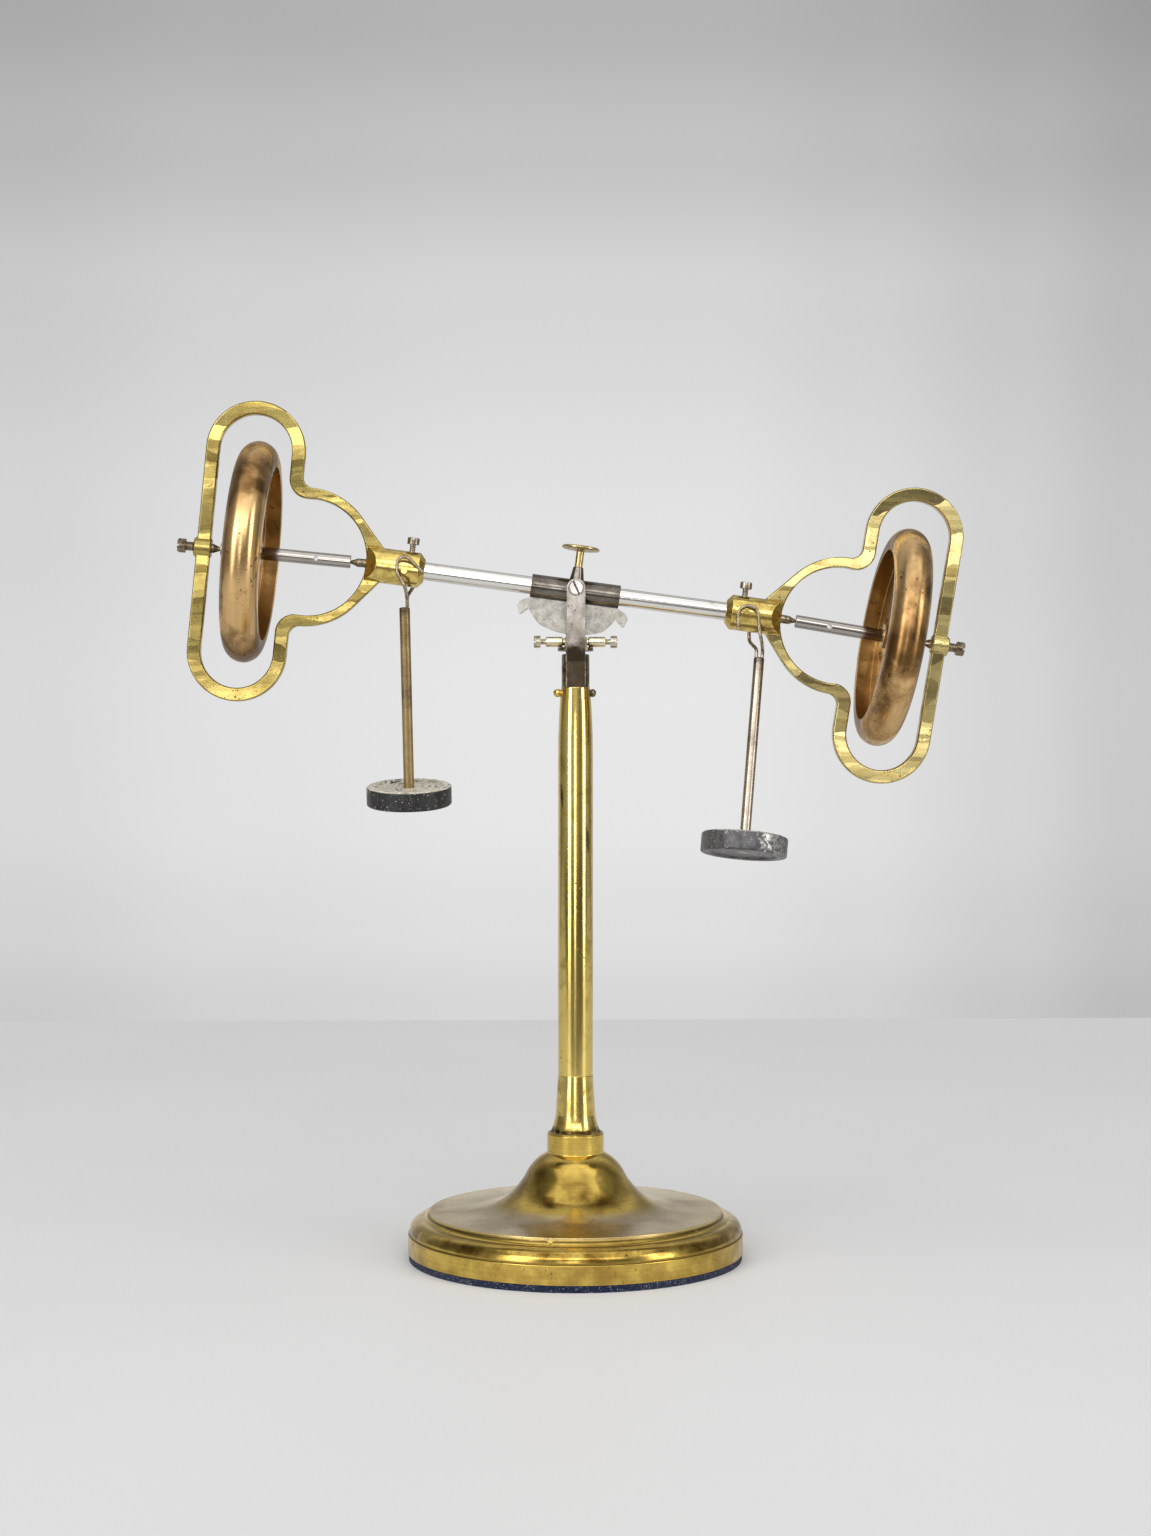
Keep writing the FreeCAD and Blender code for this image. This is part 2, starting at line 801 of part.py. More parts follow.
def make_sleeve():
    sleeve = new_body("tilt_sleeve")
    half = s.sleeve_length / 2
    bore = s.rod_radius + s.running
    revolve(sleeve, [(-half, 0), (half, 0), (half, s.sleeve_radius), (-half, s.sleeve_radius)], axis="H_Axis")
    revolve(sleeve, [
        (0, 0),
        (s.boss_base_radius, 0),
        (s.boss_base_radius, s.boss_base_radius),
        (s.boss_top_radius, s.boss_rise),
        (0, s.boss_rise),
    ])
    sketch = new_sketch(sleeve, "XZ_Plane")
    add_circle(sketch, 0, s.beam_drop, s.trunnion_radius)
    pad(sleeve, sketch, (s.arm_gap - s.trunnion_gap) * 2, symmetric=True)
    groove(sleeve, [(-half - 1, 0), (half + 1, 0), (half + 1, bore), (-half - 1, bore)], axis="H_Axis")
    thread = s.knob_screw_radius + s.seat
    groove(sleeve, [(0, 0), (thread, 0), (thread, s.boss_rise + 1), (0, s.boss_rise + 1)])
    drill(sleeve, "XZ_Plane", 0, s.beam_drop, s.pivot_shank_radius + s.running, s.arm_gap * 3)
    slit_half = s.plate_thickness / 2
    slit_top = s.sleeve_radius - s.slit_depth
    sketch = outline(sleeve, "YZ_Plane", rectangle(-slit_half, slit_half, -s.sleeve_radius - 1, -slit_top))
    pocket(sleeve, sketch, s.sleeve_length * 2)
    node(sleeve, "tilt_sleeve", BEAM)

    plate = new_body("quadrant_plate")
    half_plate = [
        (s.plate_side_x, -s.plate_side_z, "r", s.plate_arc, 1),
        (s.notch_x, -s.notch_z, "r", s.notch_arc, 1),
        (s.horn_tip_x - 1, -s.horn_tip_z),
        (s.horn_tip_x, -s.horn_tip_z + 0.3, "r", Size.of(0.8), 1),
        (s.horn_side_x, -s.horn_side_z),
        (s.horn_top_x, -s.horn_top_z, "r", s.horn_arc, 1),
        (half, -s.sleeve_radius),
        (half, -slit_top),
    ]
    mirrored = [
        (-half, -slit_top),
        (-half, -s.sleeve_radius),
        (-s.horn_top_x, -s.horn_top_z),
        (-s.horn_side_x, -s.horn_side_z, "r", s.horn_arc, 1),
        (-s.horn_tip_x, -s.horn_tip_z + 0.3),
        (-s.horn_tip_x + 1, -s.horn_tip_z, "r", Size.of(0.8), 1),
        (-s.notch_x, -s.notch_z),
        (-s.plate_side_x, -s.plate_side_z, "r", s.notch_arc, 1),
        (0, -s.plate_bottom, "r", s.plate_arc, 1),
    ]
    pad(plate, outline(plate, "XZ_Plane", half_plate + mirrored), s.plate_thickness, symmetric=True)
    node(plate, "quadrant_plate", BEAM)

    knob = new_body("clamp_knob")
    rim_low = s.knob_rise + s.knob_crown
    rim_high = rim_low + s.knob_rim
    revolve(knob, [
        (0, s.rod_radius + s.running),
        (s.knob_screw_radius, s.rod_radius + s.running),
        (s.knob_screw_radius, s.boss_rise),
        (s.knob_stem_radius, s.boss_rise),
        (s.knob_stem_radius, s.knob_rise),
        (s.knob_radius - 0.6, rim_low),
        (s.knob_radius, rim_low + 0.5),
        (s.knob_radius, rim_high - 0.5),
        (s.knob_radius - 0.6, rim_high),
        (0, rim_high + s.knob_crown),
    ])
    node(knob, "clamp_knob", BEAM)


# Beam rod and, on each side, the frame with its socket and pivots

def make_rod():
    rod = new_body("beam_rod")
    half = s.rod_half_length
    revolve(rod, [
        (0, -half),
        (s.rod_radius - 0.5, -half),
        (s.rod_radius, -half + 0.5),
        (s.rod_radius, half - 0.5),
        (s.rod_radius - 0.5, half),
        (0, half),
    ])
    node(rod, "beam_rod", BEAM, ALONG_X)


def socket_blank(side, label):
    """The socket's outside: a chamfered round bar with a sloped facet front and back at its outer end."""
    blank = new_body(label)
    end = of_side(side, "socket_end")
    chamfer_x = s.socket_start + s.socket_chamfer_length
    revolve(blank, [
        (s.socket_start, 0),
        (end, 0),
        (end, s.socket_radius),
        (chamfer_x, s.socket_radius),
        (s.socket_start, s.socket_radius - s.socket_chamfer_depth),
    ], axis="H_Axis")
    facet_x = end - s.socket_facet
    edge = s.socket_radius - s.socket_facet
    facets = []
    for sign in (1, -1):
        facets.append([
            (facet_x, s.socket_radius * sign),
            (end, edge * sign),
            (end + 1, edge * sign),
            (end + 1, (s.socket_radius + 1) * sign),
            (facet_x, (s.socket_radius + 1) * sign),
        ])
    pocket(blank, outline(blank, "XY_Plane", *facets), s.socket_radius * 3)
    return blank


def drooped_rod(side, label, radius, start, length):
    """A plain cylinder along the frame's own axis, used to cut a bore."""
    cutter = doc.addObject("Part::Cylinder", label)
    cutter.setExpression("Radius", radius.text)
    cutter.setExpression("Height", length.text)
    cutter.Placement = droop(side).multiply(at(start, 0, 0)).multiply(ALONG_X)
    return cutter


def make_socket(side):
    blank = socket_blank(side, f"{side}_socket_blank")
    bore = s.rod_radius + s.seat
    floor = s.rod_half_length + s.seat
    before = s.socket_start - 1
    groove(blank, [(before, 0), (floor, 0), (floor, bore), (before, bore)], axis="H_Axis")
    peg_bore = s.peg_radius + s.seat
    drill(blank, "XZ_Plane", s.peg_x, -of_side(side, "peg_drop"), peg_bore, s.socket_radius * 3)
    sketch = new_sketch(blank, "XY_Plane")
    add_circle(sketch, of_side(side, "set_screw_x"), 0, s.set_screw_radius + s.seat)
    pocket(blank, sketch, s.socket_radius * 2, symmetric=False, backwards=True)
    pivot_depth = s.inner_pivot_depth + s.seat
    bore_radius = s.inner_pivot_radius + s.seat
    cutter = drooped_rod(side, f"{side}_pivot_bore", bore_radius, -pivot_depth, pivot_depth * 2)
    socket = doc.addObject("Part::Cut", f"{side}_socket")
    socket.Base = blank
    socket.Tool = cutter
    node(socket, f"{side}_socket", BEAM, SIDES[side])


def raised(path, rise):
    """The same path, moved up by a rise."""
    moved = []
    for step in path:
        step = list(step)
        step[1] = step[1] + rise
        if "y" in step:
            step[3] = step[3] + rise
        moved.append(tuple(step))
    return moved


def frame_outline():
    """Outer edge of the flat frame, half of it mirrored: a bow from the socket and a long loop."""
    reach = s.bow_radius + s.corner_radius
    corner_x = s.loop_near - s.corner_radius
    corner_rise = (reach * reach - (corner_x - s.bow_centre) * (corner_x - s.bow_centre)).root()
    share = s.bow_radius / reach
    meet_x = s.bow_centre + (corner_x - s.bow_centre) * share
    meet_z = corner_rise * share
    flare_run = s.bow_centre - s.frame_flare_x
    flare_z = (s.bow_radius * s.bow_radius - flare_run * flare_run).root()
    return [
        (-s.frame_root, s.socket_radius - 1),
        (s.frame_flare_x, flare_z),
        (meet_x, meet_z, "r", s.bow_radius, -1),
        (s.loop_near, corner_rise, "y", corner_rise, 1),
        (s.loop_near, s.loop_straight),
        (s.loop_far, s.loop_straight, "y", s.loop_straight, -1),
        (s.loop_far, -s.loop_straight),
        (s.loop_near, -s.loop_straight, "y", -s.loop_straight, -1),
        (s.loop_near, -corner_rise),
        (meet_x, -meet_z, "y", -corner_rise, 1),
        (s.frame_flare_x, -flare_z, "r", s.bow_radius, -1),
        (-s.frame_root, -s.socket_radius + 1),
    ]


def frame_window():
    """Inner edge of the flat frame."""
    near = s.loop_near + s.loop_bar
    far = s.loop_far - s.loop_bar
    reach = s.bow_inner_radius + s.inner_corner_radius
    corner_x = near - s.inner_corner_radius
    corner_z = (reach * reach - (corner_x - s.bow_inner_centre) * (corner_x - s.bow_inner_centre)).root()
    share = s.bow_inner_radius / reach
    meet_x = s.bow_inner_centre + (corner_x - s.bow_inner_centre) * share
    meet_z = corner_z * share
    return [
        (near, corner_z),
        (near, s.loop_straight),
        (far, s.loop_straight, "y", s.loop_straight, -1),
        (far, -s.loop_straight),
        (near, -s.loop_straight, "y", -s.loop_straight, -1),
        (near, -corner_z),
        (meet_x, -meet_z, "y", -corner_z, 1),
        (s.bow_inner_centre - s.bow_inner_radius, 0, "y", 0, -1),
        (meet_x, meet_z, "y", 0, -1),
        (near, corner_z, "y", corner_z, 1),
    ][1:]


def bevel_flat_edges(body, flat, width):
    """Bevels the edges of a strip's two flat faces."""
    doc.recompute()
    faces = []
    for number, face in enumerate(flat.Shape.Faces, start=1):
        if abs(face.normalAt(0, 0).y) > 0.99 and isinstance(face.Surface, Part.Plane):
            faces.append(f"Face{number}")
    bevel = body.newObject("PartDesign::Chamfer", f"{body.Label}_bevel")
    bevel.Base = (flat, faces)
    bevel.setExpression("Size", width.text)


def make_frame(side):
    strip = new_body(f"{side}_frame_strip")
    rise = of_side(side, "frame_rise")
    sketch = outline(strip, "XZ_Plane", raised(frame_outline(), rise), raised(frame_window(), rise))
    flat = pad(strip, sketch, s.frame_thickness, symmetric=True)
    bevel_flat_edges(strip, flat, s.frame_edge)
    revolve(strip, [
        (s.lug_start, 0),
        (s.lug_end, 0),
        (s.lug_end, s.lug_radius - 0.6),
        (s.lug_end - 0.6, s.lug_radius),
        (s.lug_start + 0.6, s.lug_radius),
        (s.lug_start, s.lug_radius - 0.6),
    ], axis="H_Axis")
    screw_bore = s.outer_screw_radius + s.seat
    groove(strip, [
        (s.lug_start - 1, 0),
        (s.lug_end + 1, 0),
        (s.lug_end + 1, screw_bore),
        (s.lug_start - 1, screw_bore),
    ], axis="H_Axis")
    strip.Placement = droop(side)
    doc.recompute()
    frame = doc.addObject("Part::Cut", f"{side}_frame")
    frame.Base = strip
    frame.Tool = socket_blank(side, f"{side}_frame_seat")
    node(frame, f"{side}_frame", BEAM, SIDES[side])


def pivot_radius_at(distance, radius):
    """Radius of a pivot's cone at a distance back from its tip."""
    return s.pivot_tip_radius + (radius - s.pivot_tip_radius) * distance / s.pivot_cone


def make_pivots(side):
    inner = new_body(f"{side}_inner_pivot")
    tip = s.axle_start + s.pivot_engagement
    shoulder = tip - s.pivot_cone
    revolve(inner, [
        (0, -s.inner_pivot_depth),
        (s.inner_pivot_radius, -s.inner_pivot_depth),
        (s.inner_pivot_radius, shoulder),
        (s.pivot_tip_radius, tip),
        (0, tip),
    ])
    node(inner, f"{side}_inner_pivot", BEAM, SIDES[side], droop(side), ALONG_X)

    outer = new_body(f"{side}_outer_pivot_screw")
    tip = s.axle_end - s.pivot_engagement
    shoulder = tip + s.pivot_cone
    head = s.lug_end + s.outer_screw_shank
    end = head + s.outer_head_length
    revolve(outer, [
        (0, tip),
        (s.pivot_tip_radius, tip),
        (s.outer_screw_radius, shoulder),
        *threaded(s.outer_screw_radius, s.lug_end, head),
        (s.outer_screw_radius, head),
        (s.outer_head_radius, head),
        (s.outer_head_radius, end - 0.4),
        (s.outer_head_radius - 0.4, end),
        (0, end),
    ])
    slotted_head(outer, s.outer_head_radius, end - s.slot_depth, end)
    node(outer, f"{side}_outer_pivot_screw", BEAM, SIDES[side], droop(side), ALONG_X)

    screw = new_body(f"{side}_set_screw")
    head = s.socket_radius + s.set_screw_rise
    top = head + s.set_head_height
    revolve(screw, [
        (0, s.rod_radius + s.seat),
        (s.set_screw_radius, s.rod_radius + s.seat),
        *threaded(s.set_screw_radius, s.socket_radius, head),
        (s.set_screw_radius, head),
        (s.set_head_radius, head),
        (s.set_head_radius, top - 0.3),
        (s.set_head_radius - 0.3, top),
        (0, top),
    ])
    slotted_head(screw, s.set_head_radius, top - s.slot_depth, top)
    node(screw, f"{side}_set_screw", BEAM, SIDES[side], at(of_side(side, "set_screw_x"), 0, 0))


def make_rotor(side):
    place = (BEAM, SIDES[side], droop(side), ALONG_X)
    rotor = new_body(f"{side}_rotor")
    hub_bore = s.axle_radius + s.seat
    low = s.rotor_x - s.rotor_half_width
    high = s.rotor_x + s.rotor_half_width
    round_start = s.rotor_radius - s.rotor_half_width
    web = s.rotor_web / 2
    hub = s.hub_length / 2
    revolve(rotor, [
        (hub_bore, s.rotor_x - hub),
        (s.hub_radius, s.rotor_x - hub),
        (s.hub_radius, s.rotor_x - web),
        (s.rotor_bore, s.rotor_x - web),
        (s.rotor_bore, low),
        (round_start, low),
        (round_start, high, "x", round_start, 1),
        (s.rotor_bore, high),
        (s.rotor_bore, s.rotor_x + web),
        (s.hub_radius, s.rotor_x + web),
        (s.hub_radius, s.rotor_x + hub),
        (hub_bore, s.rotor_x + hub),
    ])
    sketch = new_sketch(rotor, "XY_Plane", offset=s.rotor_x)
    add_circle(sketch, s.web_hole_circle, 0, s.web_hole_radius)
    hole = pocket(rotor, sketch, s.rotor_web * 4)
    ring = body_pattern(rotor, hole, s.web_hole_count)
    rotor.Tip = ring
    node(rotor, f"{side}_rotor", *place)

    axle = new_body(f"{side}_axle")
    mouth = s.pivot_engagement
    inner_mouth = pivot_radius_at(mouth, s.inner_pivot_radius) + s.running
    outer_mouth = pivot_radius_at(mouth, s.outer_screw_radius) + s.running
    floor = s.pivot_tip_radius + s.running
    depth = mouth + s.running * 4
    revolve(axle, [
        (0, s.axle_start + depth),
        (floor, s.axle_start + depth),
        (inner_mouth, s.axle_start),
        (s.axle_radius - 0.2, s.axle_start),
        (s.axle_radius, s.axle_start + 0.2),
        (s.axle_radius, s.axle_end - 0.2),
        (s.axle_radius - 0.2, s.axle_end),
        (outer_mouth, s.axle_end),
        (floor, s.axle_end - depth),
        (0, s.axle_end - depth),
    ])
    drill(axle, "XZ_Plane", 0, s.string_hole_x, s.string_hole_radius, s.axle_radius * 4)
    node(axle, f"{side}_axle", *place)


def body_pattern(body, original, count):
    """Repeats a feature evenly about the body's own Z axis."""
    pattern = body.newObject("PartDesign::PolarPattern", f"{body.Label}_pattern")
    pattern.Originals = [original]
    axis = [item for item in body.Origin.OriginFeatures if item.Role == "Z_Axis"]
    pattern.Axis = (axis[0], [""])
    pattern.Angle = 360
    pattern.setExpression("Occurrences", count.text)
    return pattern


# Pegs and hanging weights

def make_pegs(side):
    """Two pegs for the hooks, one out of the front of the socket and one out of its back."""
    length = s.peg_seat + s.peg_reach
    inner = float(s.socket_radius - s.peg_seat)
    pegs = []
    for end, facing in (("front", -1), ("back", 1)):
        peg = doc.addObject("Part::Cylinder", f"{side}_peg_{end}")
        peg.setExpression("Radius", s.peg_radius.text)
        peg.setExpression("Height", length.text)
        foot = Vector(float(s.peg_x), inner * facing, -float(of_side(side, "peg_drop")))
        peg.Placement = Placement(foot, Rotation(Vector(1, 0, 0), -90 * facing))
        pegs.append(peg)
    pair = doc.addObject("Part::Compound", f"{side}_hook_pegs")
    pair.Links = pegs
    node(pair, f"{side}_hook_pegs", BEAM, SIDES[side])


def rounded_wire(points, radii):
    """A wire through the points whose corners are arcs tangent to both runs."""
    edges = []
    start = points[0]
    for before, corner, after, radius in zip(points, points[1:], points[2:], radii):
        back = (before - corner).normalize()
        ahead = (after - corner).normalize()
        opening = back.getAngle(ahead)
        trim = radius / math.tan(opening / 2)
        middle = (back + ahead).normalize()
        nearest = radius / math.sin(opening / 2) - radius
        first, last = corner + back * trim, corner + ahead * trim
        if (first - start).Length > 1e-4:
            edges.append(Part.LineSegment(start, first).toShape())
        edges.append(Part.Arc(first, corner + middle * nearest, last).toShape())
        start = last
    edges.append(Part.LineSegment(start, points[-1]).toShape())
    return Part.Wire(edges)


def make_tube(points, radii, radius):
    """A round wire bent along the points."""
    path = rounded_wire(points, radii)
    run = points[1] - points[0]
    section = Part.Wire([Part.makeCircle(radius, points[0], run)])
    return path.makePipeShell([section], True, True)


def make_hooks(side, stem_foot, turned):
    """Two bent wires: one hooked over its peg, and one that stands clear above its own."""
    wire_y = float(s.wire_side)
    bend = float(s.wire_radius) * 4
    up = turned.multVec(Vector(0, 0, 1))
    seated_out, seated_side, seated_leg = SEATED[side]
    raised_side, raised_leg = RAISED[side]

    crown, arch = float(s.seat_crown), float(s.seat_arch)
    leg_x, end_x = (seated_out, seated_out - 2 * arch) if seated_side > 0 else (seated_out - 2 * arch, seated_out)
    joint = turned.multVec(Vector(float(s.joint_x) * seated_side, -float(s.joint_y), 0)) + stem_foot
    seated = [
        joint,
        joint + up * float(s.joint_run),
        *(Vector(x, -wire_y, z) for x, z in seated_leg),
        Vector(leg_x, -wire_y, crown),
        Vector(end_x, -wire_y, crown),
        Vector(end_x, -wire_y, -float(of_side(side, "seat_end"))),
    ]
    seated_bends = [bend] * (len(seated) - 4) + [arch * 0.98, arch * 0.98]

    leg_x, arch = float(s.raised_leg_x), float(s.raised_arch)
    corner = float(s.raised_crown) - arch + arch * math.tan(math.radians(67.5))
    joint = turned.multVec(Vector(float(s.joint_x) * raised_side, float(s.joint_y), 0)) + stem_foot
    raised_wire = [
        joint,
        joint + up * float(s.joint_run),
        *(Vector(x, wire_y, z) for x, z in raised_leg),
        Vector(leg_x, wire_y, corner),
        Vector(-float(s.raised_end_x), wire_y, corner - leg_x - float(s.raised_end_x)),
    ]
    raised_bends = [bend] * (len(raised_wire) - 3) + [arch]
    radius = float(s.wire_radius)
    return [make_tube(seated, seated_bends, radius), make_tube(raised_wire, raised_bends, radius)]


def make_weight(side):
    """A weight that hangs by its seated hook."""
    peg = BEAM.multiply(SIDES[side]).multVec(Vector(float(s.peg_x), 0, -float(of_side(side, "peg_drop"))))
    hang = Placement(peg, SIDES[side].Rotation)
    foot_x, foot_drop = of_side(side, "stem_x"), of_side(side, "stem_drop")
    stem_foot = Vector(float(foot_x), float(s.stem_y), -float(foot_drop))
    lean_in = Rotation(Vector(0, 1, 0), float(of_side(side, "stem_lean")))
    lean_near = Rotation(Vector(1, 0, 0), -float(of_side(side, "stem_side_lean")))
    stem_place = Placement(stem_foot, lean_in.multiply(lean_near))

    stem = new_body(f"{side}_weight_rod")
    screw_end = -s.stem_length - s.disc_height + s.disc_recess
    revolve(stem, [
        (0, screw_end),
        (s.stem_radius - 0.4, screw_end),
        (s.stem_radius, screw_end + 0.4),
        (s.stem_radius, -0.4),
        (s.stem_radius - 0.4, 0),
        (0, 0),
    ])
    node(stem, f"{side}_weight_rod", hang, stem_place)

    disc = new_body(f"{side}_weight_disc")
    bore = s.stem_radius + s.seat
    top, bottom = disc_top, disc_top - s.disc_height
    edge = s.disc_radius - s.disc_round
    revolve(disc, [
        (bore, top - s.disc_recess),
        (bore, bottom + s.disc_recess),
        (s.disc_recess_radius, bottom + s.disc_recess),
        (s.disc_recess_radius + s.disc_recess, bottom),
        (edge, bottom),
        (s.disc_radius, bottom + s.disc_round, "y", bottom + s.disc_round, 1),
        (s.disc_radius, top - s.disc_round),
        (edge, top, "y", top - s.disc_round, 1),
        (s.disc_recess_radius + s.disc_recess, top),
        (s.disc_recess_radius, top - s.disc_recess),
    ])
    node(disc, f"{side}_weight_disc", hang, stem_place)

    hooks = doc.addObject("Part::Feature", f"{side}_weight_hooks")
    hooks.Shape = Part.Compound(make_hooks(side, stem_foot, stem_place.Rotation))
    node(hooks, f"{side}_weight_hooks", hang)


make_foot()
make_column()
make_yoke()
make_sleeve()
make_rod()
for side_name in SIDES:
    make_socket(side_name)
    make_frame(side_name)
    make_pivots(side_name)
    make_rotor(side_name)
    make_pegs(side_name)
    make_weight(side_name)

doc.recompute()
for item in doc.Objects:
    if "Invalid" in item.State or "Error" in item.State:
        raise ValueError(f"{item.Label} is {item.State}")
for item in nodes:
    if item.Shape.isNull() or not item.Shape.isValid():
        raise ValueError(f"{item.Label} has no valid shape")

os.makedirs("parts", exist_ok=True)
for item in nodes:
    item.Shape.exportStep(f"parts/{item.Label}.step")
print(f"{len(nodes)} pieces written")
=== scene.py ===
import json
import math

import bpy
from mathutils import Matrix, Vector


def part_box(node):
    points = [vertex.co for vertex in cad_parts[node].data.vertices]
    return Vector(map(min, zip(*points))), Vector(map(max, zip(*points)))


# A two-rotor demonstration gyroscope on its stand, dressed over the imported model.

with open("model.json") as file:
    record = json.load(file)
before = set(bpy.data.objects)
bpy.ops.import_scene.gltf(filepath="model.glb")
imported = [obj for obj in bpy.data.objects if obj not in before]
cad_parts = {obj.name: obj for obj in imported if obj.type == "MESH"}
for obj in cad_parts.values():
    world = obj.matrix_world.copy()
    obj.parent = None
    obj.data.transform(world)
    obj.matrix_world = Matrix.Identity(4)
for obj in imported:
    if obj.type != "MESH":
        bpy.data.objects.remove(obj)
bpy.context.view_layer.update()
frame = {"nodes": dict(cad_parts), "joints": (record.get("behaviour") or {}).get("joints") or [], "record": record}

# Camera, as fitted to the photograph: level, with the column's axis in the middle of the picture
IMAGE_HEIGHT = 1536
FOCAL_PIXELS = 2335
CAMERA_DISTANCE = 1.066
CAMERA_HEIGHT = 0.2228
CAMERA_AZIMUTH = math.radians(-1.8)

# The table's far edge
TABLE_EDGE_Y = 1.0

SCENE = bpy.context.scene


def make_camera():
    camera = bpy.data.objects.new("camera", bpy.data.cameras.new("camera"))
    SCENE.collection.objects.link(camera)
    camera.data.sensor_fit = "AUTO"
    camera.data.sensor_width = 36
    camera.data.lens = FOCAL_PIXELS / IMAGE_HEIGHT * camera.data.sensor_width
    camera.data.clip_end = 20
    camera.location = (
        CAMERA_DISTANCE * math.sin(CAMERA_AZIMUTH),
        -CAMERA_DISTANCE * math.cos(CAMERA_AZIMUTH),
        CAMERA_HEIGHT,
    )
    camera.rotation_euler = (math.pi / 2, 0, CAMERA_AZIMUTH)
    SCENE.camera = camera


class Nodes:
    """Short calls for building one material's node tree."""

    def __init__(self, name):
        self.material = bpy.data.materials.new(name)
        self.material.use_nodes = True
        self.tree = self.material.node_tree
        self.tree.nodes.clear()
        self.shader = self.tree.nodes.new("ShaderNodeBsdfPrincipled")
        output = self.tree.nodes.new("ShaderNodeOutputMaterial")
        self.tree.links.new(self.shader.outputs[0], output.inputs["Surface"])
        self.place = self.add("ShaderNodeTexCoord").outputs["Object"]

    def add(self, kind, **settings):
        node = self.tree.nodes.new(kind)
        for name, value in settings.items():
            setattr(node, name, value)
        return node

    def link(self, source, target):
        self.tree.links.new(source, target)

    def fill(self, socket, value):
        """Sets a socket to a value, or links it when the value is another socket."""
        if isinstance(value, bpy.types.NodeSocket):
            self.link(value, socket)
        else:
            socket.default_value = value

    def stretch(self, scale=(1, 1, 1), rotation=(0, 0, 0), source=None):
        mapping = self.add("ShaderNodeMapping")
        mapping.inputs["Scale"].default_value = scale
        mapping.inputs["Rotation"].default_value = [math.radians(angle) for angle in rotation]
        self.link(source or self.place, mapping.inputs["Vector"])
        return mapping.outputs["Vector"]

    def noise(self, scale, detail=3.0, roughness=0.55, distortion=0.0, source=None):
        noise = self.add("ShaderNodeTexNoise")
        noise.inputs["Scale"].default_value = scale
        noise.inputs["Detail"].default_value = detail
        noise.inputs["Roughness"].default_value = roughness
        noise.inputs["Distortion"].default_value = distortion
        self.link(source or self.place, noise.inputs["Vector"])
        return noise.outputs["Fac"]

    def spread(self, value, low, high, out_low=0.0, out_high=1.0):
        """Maps low..high of a value onto out_low..out_high, clamped."""
        node = self.add("ShaderNodeMapRange")
        limits = {"From Min": low, "From Max": high, "To Min": out_low, "To Max": out_high}
        for name, amount in limits.items():
            node.inputs[name].default_value = amount
        self.link(value, node.inputs["Value"])
        return node.outputs["Result"]

    def math(self, operation, first, second=0.0):
        node = self.add("ShaderNodeMath", operation=operation)
        self.fill(node.inputs[0], first)
        self.fill(node.inputs[1], second)
        return node.outputs[0]

    def mix(self, factor, first, second):
        node = self.add("ShaderNodeMix", data_type="RGBA")
        self.fill(node.inputs[0], factor)
        for socket, value in ((node.inputs[6], first), (node.inputs[7], second)):
            self.fill(socket, value if isinstance(value, bpy.types.NodeSocket) else (*value, 1.0))
        return node.outputs[2]

    def vector(self, operation, first, second, scale=None):
        node = self.add("ShaderNodeVectorMath", operation=operation)
        self.fill(node.inputs[0], first)
        self.fill(node.inputs[1], second)
        if scale is not None:
            self.fill(node.inputs["Scale"], scale)
        return node.outputs["Value"] if operation in ("DOT_PRODUCT", "LENGTH") else node.outputs["Vector"]

    def about(self, origin, axis):
        """Distance along an axis and out from it, as two values."""
        local = self.vector("SUBTRACT", self.place, tuple(origin))
        along = self.vector("DOT_PRODUCT", local, tuple(axis))
        length = self.vector("LENGTH", local, (0, 0, 0))
        length_squared = self.math("MULTIPLY", length, length)
        along_squared = self.math("MULTIPLY", along, along)
        out_squared = self.math("SUBTRACT", length_squared, along_squared)
        return along, self.math("SQRT", self.math("MAXIMUM", out_squared, 0.0))

    def rings(self, origin, axis, scale, detail=2.0):
        """Noise that is the same all round an axis, as a lathe leaves it."""
        along, out = self.about(origin, axis)
        joined = self.add("ShaderNodeCombineXYZ")
        self.link(along, joined.inputs["X"])
        self.link(out, joined.inputs["Y"])
        return self.noise(scale, detail, source=joined.outputs["Vector"])

    def lengthwise(self, axis, stretch_factor):
        """Places squeezed along an axis, so that a noise over them runs in streaks along it."""
        along = self.vector("DOT_PRODUCT", self.place, tuple(axis))
        shift = self.math("MULTIPLY", along, stretch_factor - 1.0)
        back = self.vector("SCALE", tuple(axis), (0, 0, 0), shift)
        return self.vector("ADD", self.place, back)

    def soft_edge(self, radius):
        """The normal of the surface with its edges rounded off, and how near an edge lies."""
        bevel = self.add("ShaderNodeBevel", samples=6)
        bevel.inputs["Radius"].default_value = radius
        flat = self.add("ShaderNodeNewGeometry").outputs["Normal"]
        same = self.vector("DOT_PRODUCT", bevel.outputs["Normal"], flat)
        return bevel.outputs["Normal"], self.spread(same, 0.99, 0.86)

    def bump(self, height, distance, normal=None, strength=1.0):
        node = self.add("ShaderNodeBump")
        node.inputs["Strength"].default_value = strength
        node.inputs["Distance"].default_value = distance
        self.link(height, node.inputs["Height"])
        if normal is not None:
            self.link(normal, node.inputs["Normal"])
        return node.outputs["Normal"]

    def set(self, **values):
        """Fills the shader's own sockets."""
        for name, value in values.items():
            socket = self.shader.inputs[name.replace("_", " ")]
            if isinstance(value, tuple) and len(value) == 3:
                value = (*value, 1.0)
            self.fill(socket, value)


def srgb(red, green, blue):
    """A colour as seen on a screen, from 0 to 255, as the light that it stands for."""
    parts = (part / 255 for part in (red, green, blue))
    return tuple(part / 12.92 if part <= 0.04045 else ((part + 0.055) / 1.055) ** 2.4 for part in parts)


